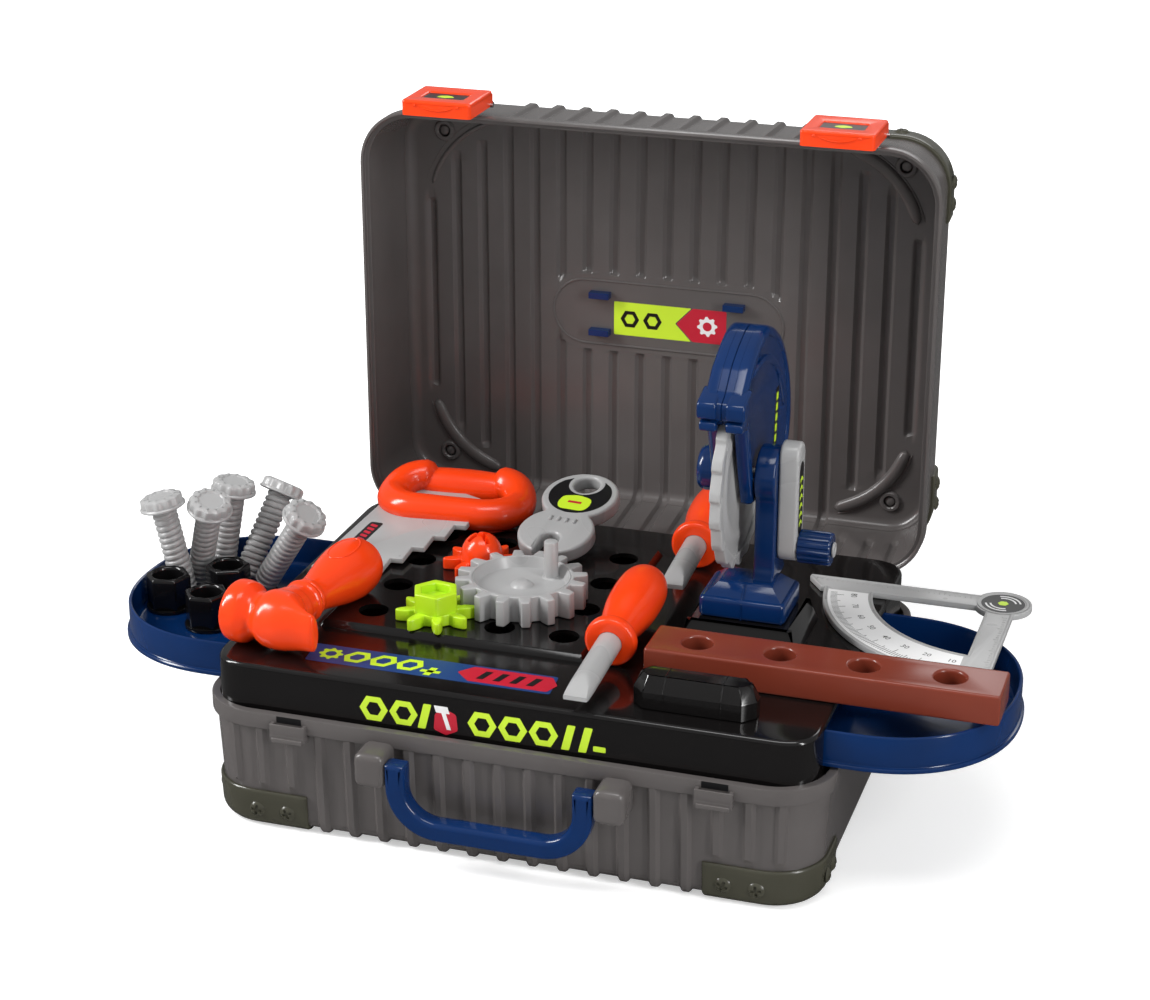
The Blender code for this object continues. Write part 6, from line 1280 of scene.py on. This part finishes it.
lobes = np.arange(96) * TURN / 96
head_reach = 15 - 1.3 * np.cos(6 * lobes) ** 2
bolt_head = polar(head_reach, lobes)
bolt = [threaded(62.6, 8.7, 4.3, 1.2), turned([(0, 62), (14.6, 62), (15.8, 62.7), (15.8, 63.7), (15, 64.6),
                                               (0, 64.8)], 56),
        prism([bolt_head], [(0, 64), (0, 68.6), (0.7, 69.9), (2.4, 70.8), (3.4, 71), (4.6, 71),
                            (5.6, 70.2)])]
BOLTS = ((-282.2, -4.8, -0.2, -0.03), (-281.2, 15.4, 0.3, -0.22), (-270.5, 30.2, 0.16, 0.07),
         (-250.2, 25, 0.3, 0.6), (-232.2, 20.4, 0.64, -0.13))
for index, (x, y, lean_x, lean_y) in enumerate(BOLTS, 1):
    heading = Vector((lean_x, lean_y, 1)).normalized()
    rise = 89.6 + 7.5 * math.sqrt(1 - heading.z ** 2)
    place = move(x, y, rise)
    place = place @ Vector((0, 0, 1)).rotation_difference(heading).to_matrix().to_4x4()
    assemble("bolt_body_%d" % index, "loose_bolt_%d" % index, GREY, bolt, ["bolt_%d" % index],
             at=place)
NUT_BLACK = moulded("black PVC", "#131213", "#0c0c0d", 0.16)
hexagon = rounded(ellipse(15.7, 15.7, 6), 1.2, 3)
nut_parts = [prism([hexagon, bore(10.1)], np.array([(0.3, 2), (0, 2.4), (0, 22.6), (0.5, 24), (1.6, 24.8),
                                                    (2.6, 25)]) * [0.8, 1]),
             prism([ellipse(15.9, 15.9, 48), bore(10.1)], rolled(0, 2.6, 0.7, 2))]
for index, (x, y, angle) in enumerate(((-281, -31, 0.2), (-249, -4, 0.45), (-243, -50, 0.1)), 1):
    place = move(x, y, 89.6) @ spin(angle, "Z")
    assemble("nut_body_%d" % index, "loose_nut_%d" % index, NUT_BLACK, nut_parts,
             ["nut_%d" % index], at=place)


# Badge
# A blue ABS plate moulded with four clips, snapped on the outside of the lid so that the clips
# show through slots inside. A printed label sits between them. The solid shows the plate as it is.

BADGE_BLUE = moulded("cobalt ABS badge", "#082d60", "#06244e", 0.2, edge=0.6)
dress(["lid_badge_plate"], BADGE_BLUE)
BADGE = LID_PLACE @ move(2, OVAL_Y + 3, LID_FLOOR) @ Matrix.Diagonal((1, -1, -1, 1))
left_half = rounded([(-42, -12.5), (16, -12.5), (4, 0), (16, 12.5), (-42, 12.5)], 1)
right_half = rounded([(17, -12.5), (42, -12.5), (42, 12.5), (17, 12.5), (5, 0)], 1)
decal("badge_label_lime", "lid", LABEL_LIME, [left_half], BADGE)
decal("badge_label_red", "lid", LABEL_RED, [right_half], BADGE)
BADGE_INK = BADGE @ ON_PRINT
inner_cog = shifted([half_cog(7.5, 8, 0), half_cog(7.5, 8, TURN / 2)], 28, 0)
decal("badge_cog", "lid", LABEL_WHITE, inner_cog, BADGE_INK)
dark = shifted(nut_outline(7, 3), -30, 0) + shifted(nut_outline(7, 3), -13, 0)
decal("badge_nuts", "lid", BLACK_PRINT_AND_SHADE, dark, BADGE_INK)


# Studio
# A white paper sweep and a white surround under four soft lamps, as in
# a product photograph. The sweep glows a little for the camera alone,
# more with distance, so that it ends white and still shows the shadow.

floor_mesh = bpy.data.meshes.new("floor")
floor_mesh.from_pydata([(-6, -6, 0), (6, -6, 0), (6, 6, 0), (-6, 6, 0)], [], [(0, 1, 2, 3)])
floor = bpy.data.objects.new("floor", floor_mesh)
bpy.context.scene.collection.objects.link(floor)
PAPER = bpy.data.materials.new("white paper sweep")
PAPER.use_nodes = True
paper_shader = PAPER.node_tree.nodes["Principled BSDF"]
paper_shader.inputs["Roughness"].default_value = 0.9
paper_shader.inputs["Specular IOR Level"].default_value = 0
rays = node(PAPER, "LightPath")
tone = node(PAPER, "Mix", {0: rays.outputs["Is Glossy Ray"], 6: srgb("#ececec"), 7: srgb("#5c5c5c")},
            data_type="RGBA")
PAPER.node_tree.links.new(tone.outputs[2], paper_shader.inputs["Base Color"])
away = node(PAPER, "VectorMath", {0: node(PAPER, "TexCoord").outputs["Object"]}, operation="LENGTH")
far = node(PAPER, "MapRange", {"Value": away.outputs["Value"], "From Min": 0.45, "From Max": 1.3,
                               "To Min": 0.48, "To Max": 1.0})
lift = node(PAPER, "Math", {0: rays.outputs["Is Camera Ray"], 1: far.outputs["Result"]},
            operation="MULTIPLY")
glow = node(PAPER, "Emission", {"Color": (1, 1, 1, 1), "Strength": lift.outputs[0]})
both = node(PAPER, "AddShader", {0: paper_shader.outputs[0], 1: glow.outputs[0]})
PAPER.node_tree.links.new(both.outputs[0], PAPER.node_tree.nodes["Material Output"].inputs["Surface"])
floor_mesh.materials.append(PAPER)

world = bpy.data.worlds.new("white surround")
bpy.context.scene.world = world
world.use_nodes = True
rays = node(world, "LightPath")
seen = node(world, "Math", {0: rays.outputs["Is Camera Ray"], 1: rays.outputs["Is Transmission Ray"]},
            operation="MAXIMUM")
dim = node(world, "MapRange", {"Value": rays.outputs["Is Glossy Ray"], "To Min": 0.31, "To Max": 0.3})
strength = node(world, "Mix", {0: seen.outputs[0], 2: dim.outputs["Result"], 3: 1.0}, data_type="FLOAT")
backdrop = world.node_tree.nodes["Background"]
backdrop.inputs["Color"].default_value = (1, 1, 1, 1)
world.node_tree.links.new(strength.outputs[0], backdrop.inputs["Strength"])


def softbox(name, place, aim, width, height, power):
    """A rectangular area lamp pointing at a spot."""
    lamp = bpy.data.lights.new(name, "AREA")
    lamp.shape = "RECTANGLE"
    lamp.size = width
    lamp.size_y = height
    lamp.energy = power
    holder = bpy.data.objects.new(name, lamp)
    holder.location = place
    holder.rotation_euler = (Vector(aim) - Vector(place)).to_track_quat("-Z", "Y").to_euler()
    bpy.context.scene.collection.objects.link(holder)


softbox("key", (-1.7, -0.7, 1.35), (0, 0, 0.15), 0.4, 1.4, 44)
softbox("fill", (1.7, -0.9, 0.9), (0.1, 0, 0.2), 0.3, 1.4, 22)
softbox("top", (0.2, -0.6, 2.2), (0, 0, 0.15), 1.4, 0.7, 15)
softbox("rim", (0.1, 2.1, 1.5), (0, 0, 0.2), 1.6, 0.6, 8)

camera = bpy.data.cameras.new("camera")
camera.lens = 79.48
camera.sensor_width = 36
camera.clip_end = 50
eye = bpy.data.objects.new("camera", camera)
EYE_AIM = Vector((0.04966, -0.1485, 0.25507))
eye.location = (0.4734, -1.4597, 0.8143)
eye.rotation_euler = (EYE_AIM - eye.location).to_track_quat("-Z", "Y").to_euler()
bpy.context.scene.collection.objects.link(eye)
bpy.context.scene.camera = eye
bpy.context.scene.view_settings.view_transform = "Standard"
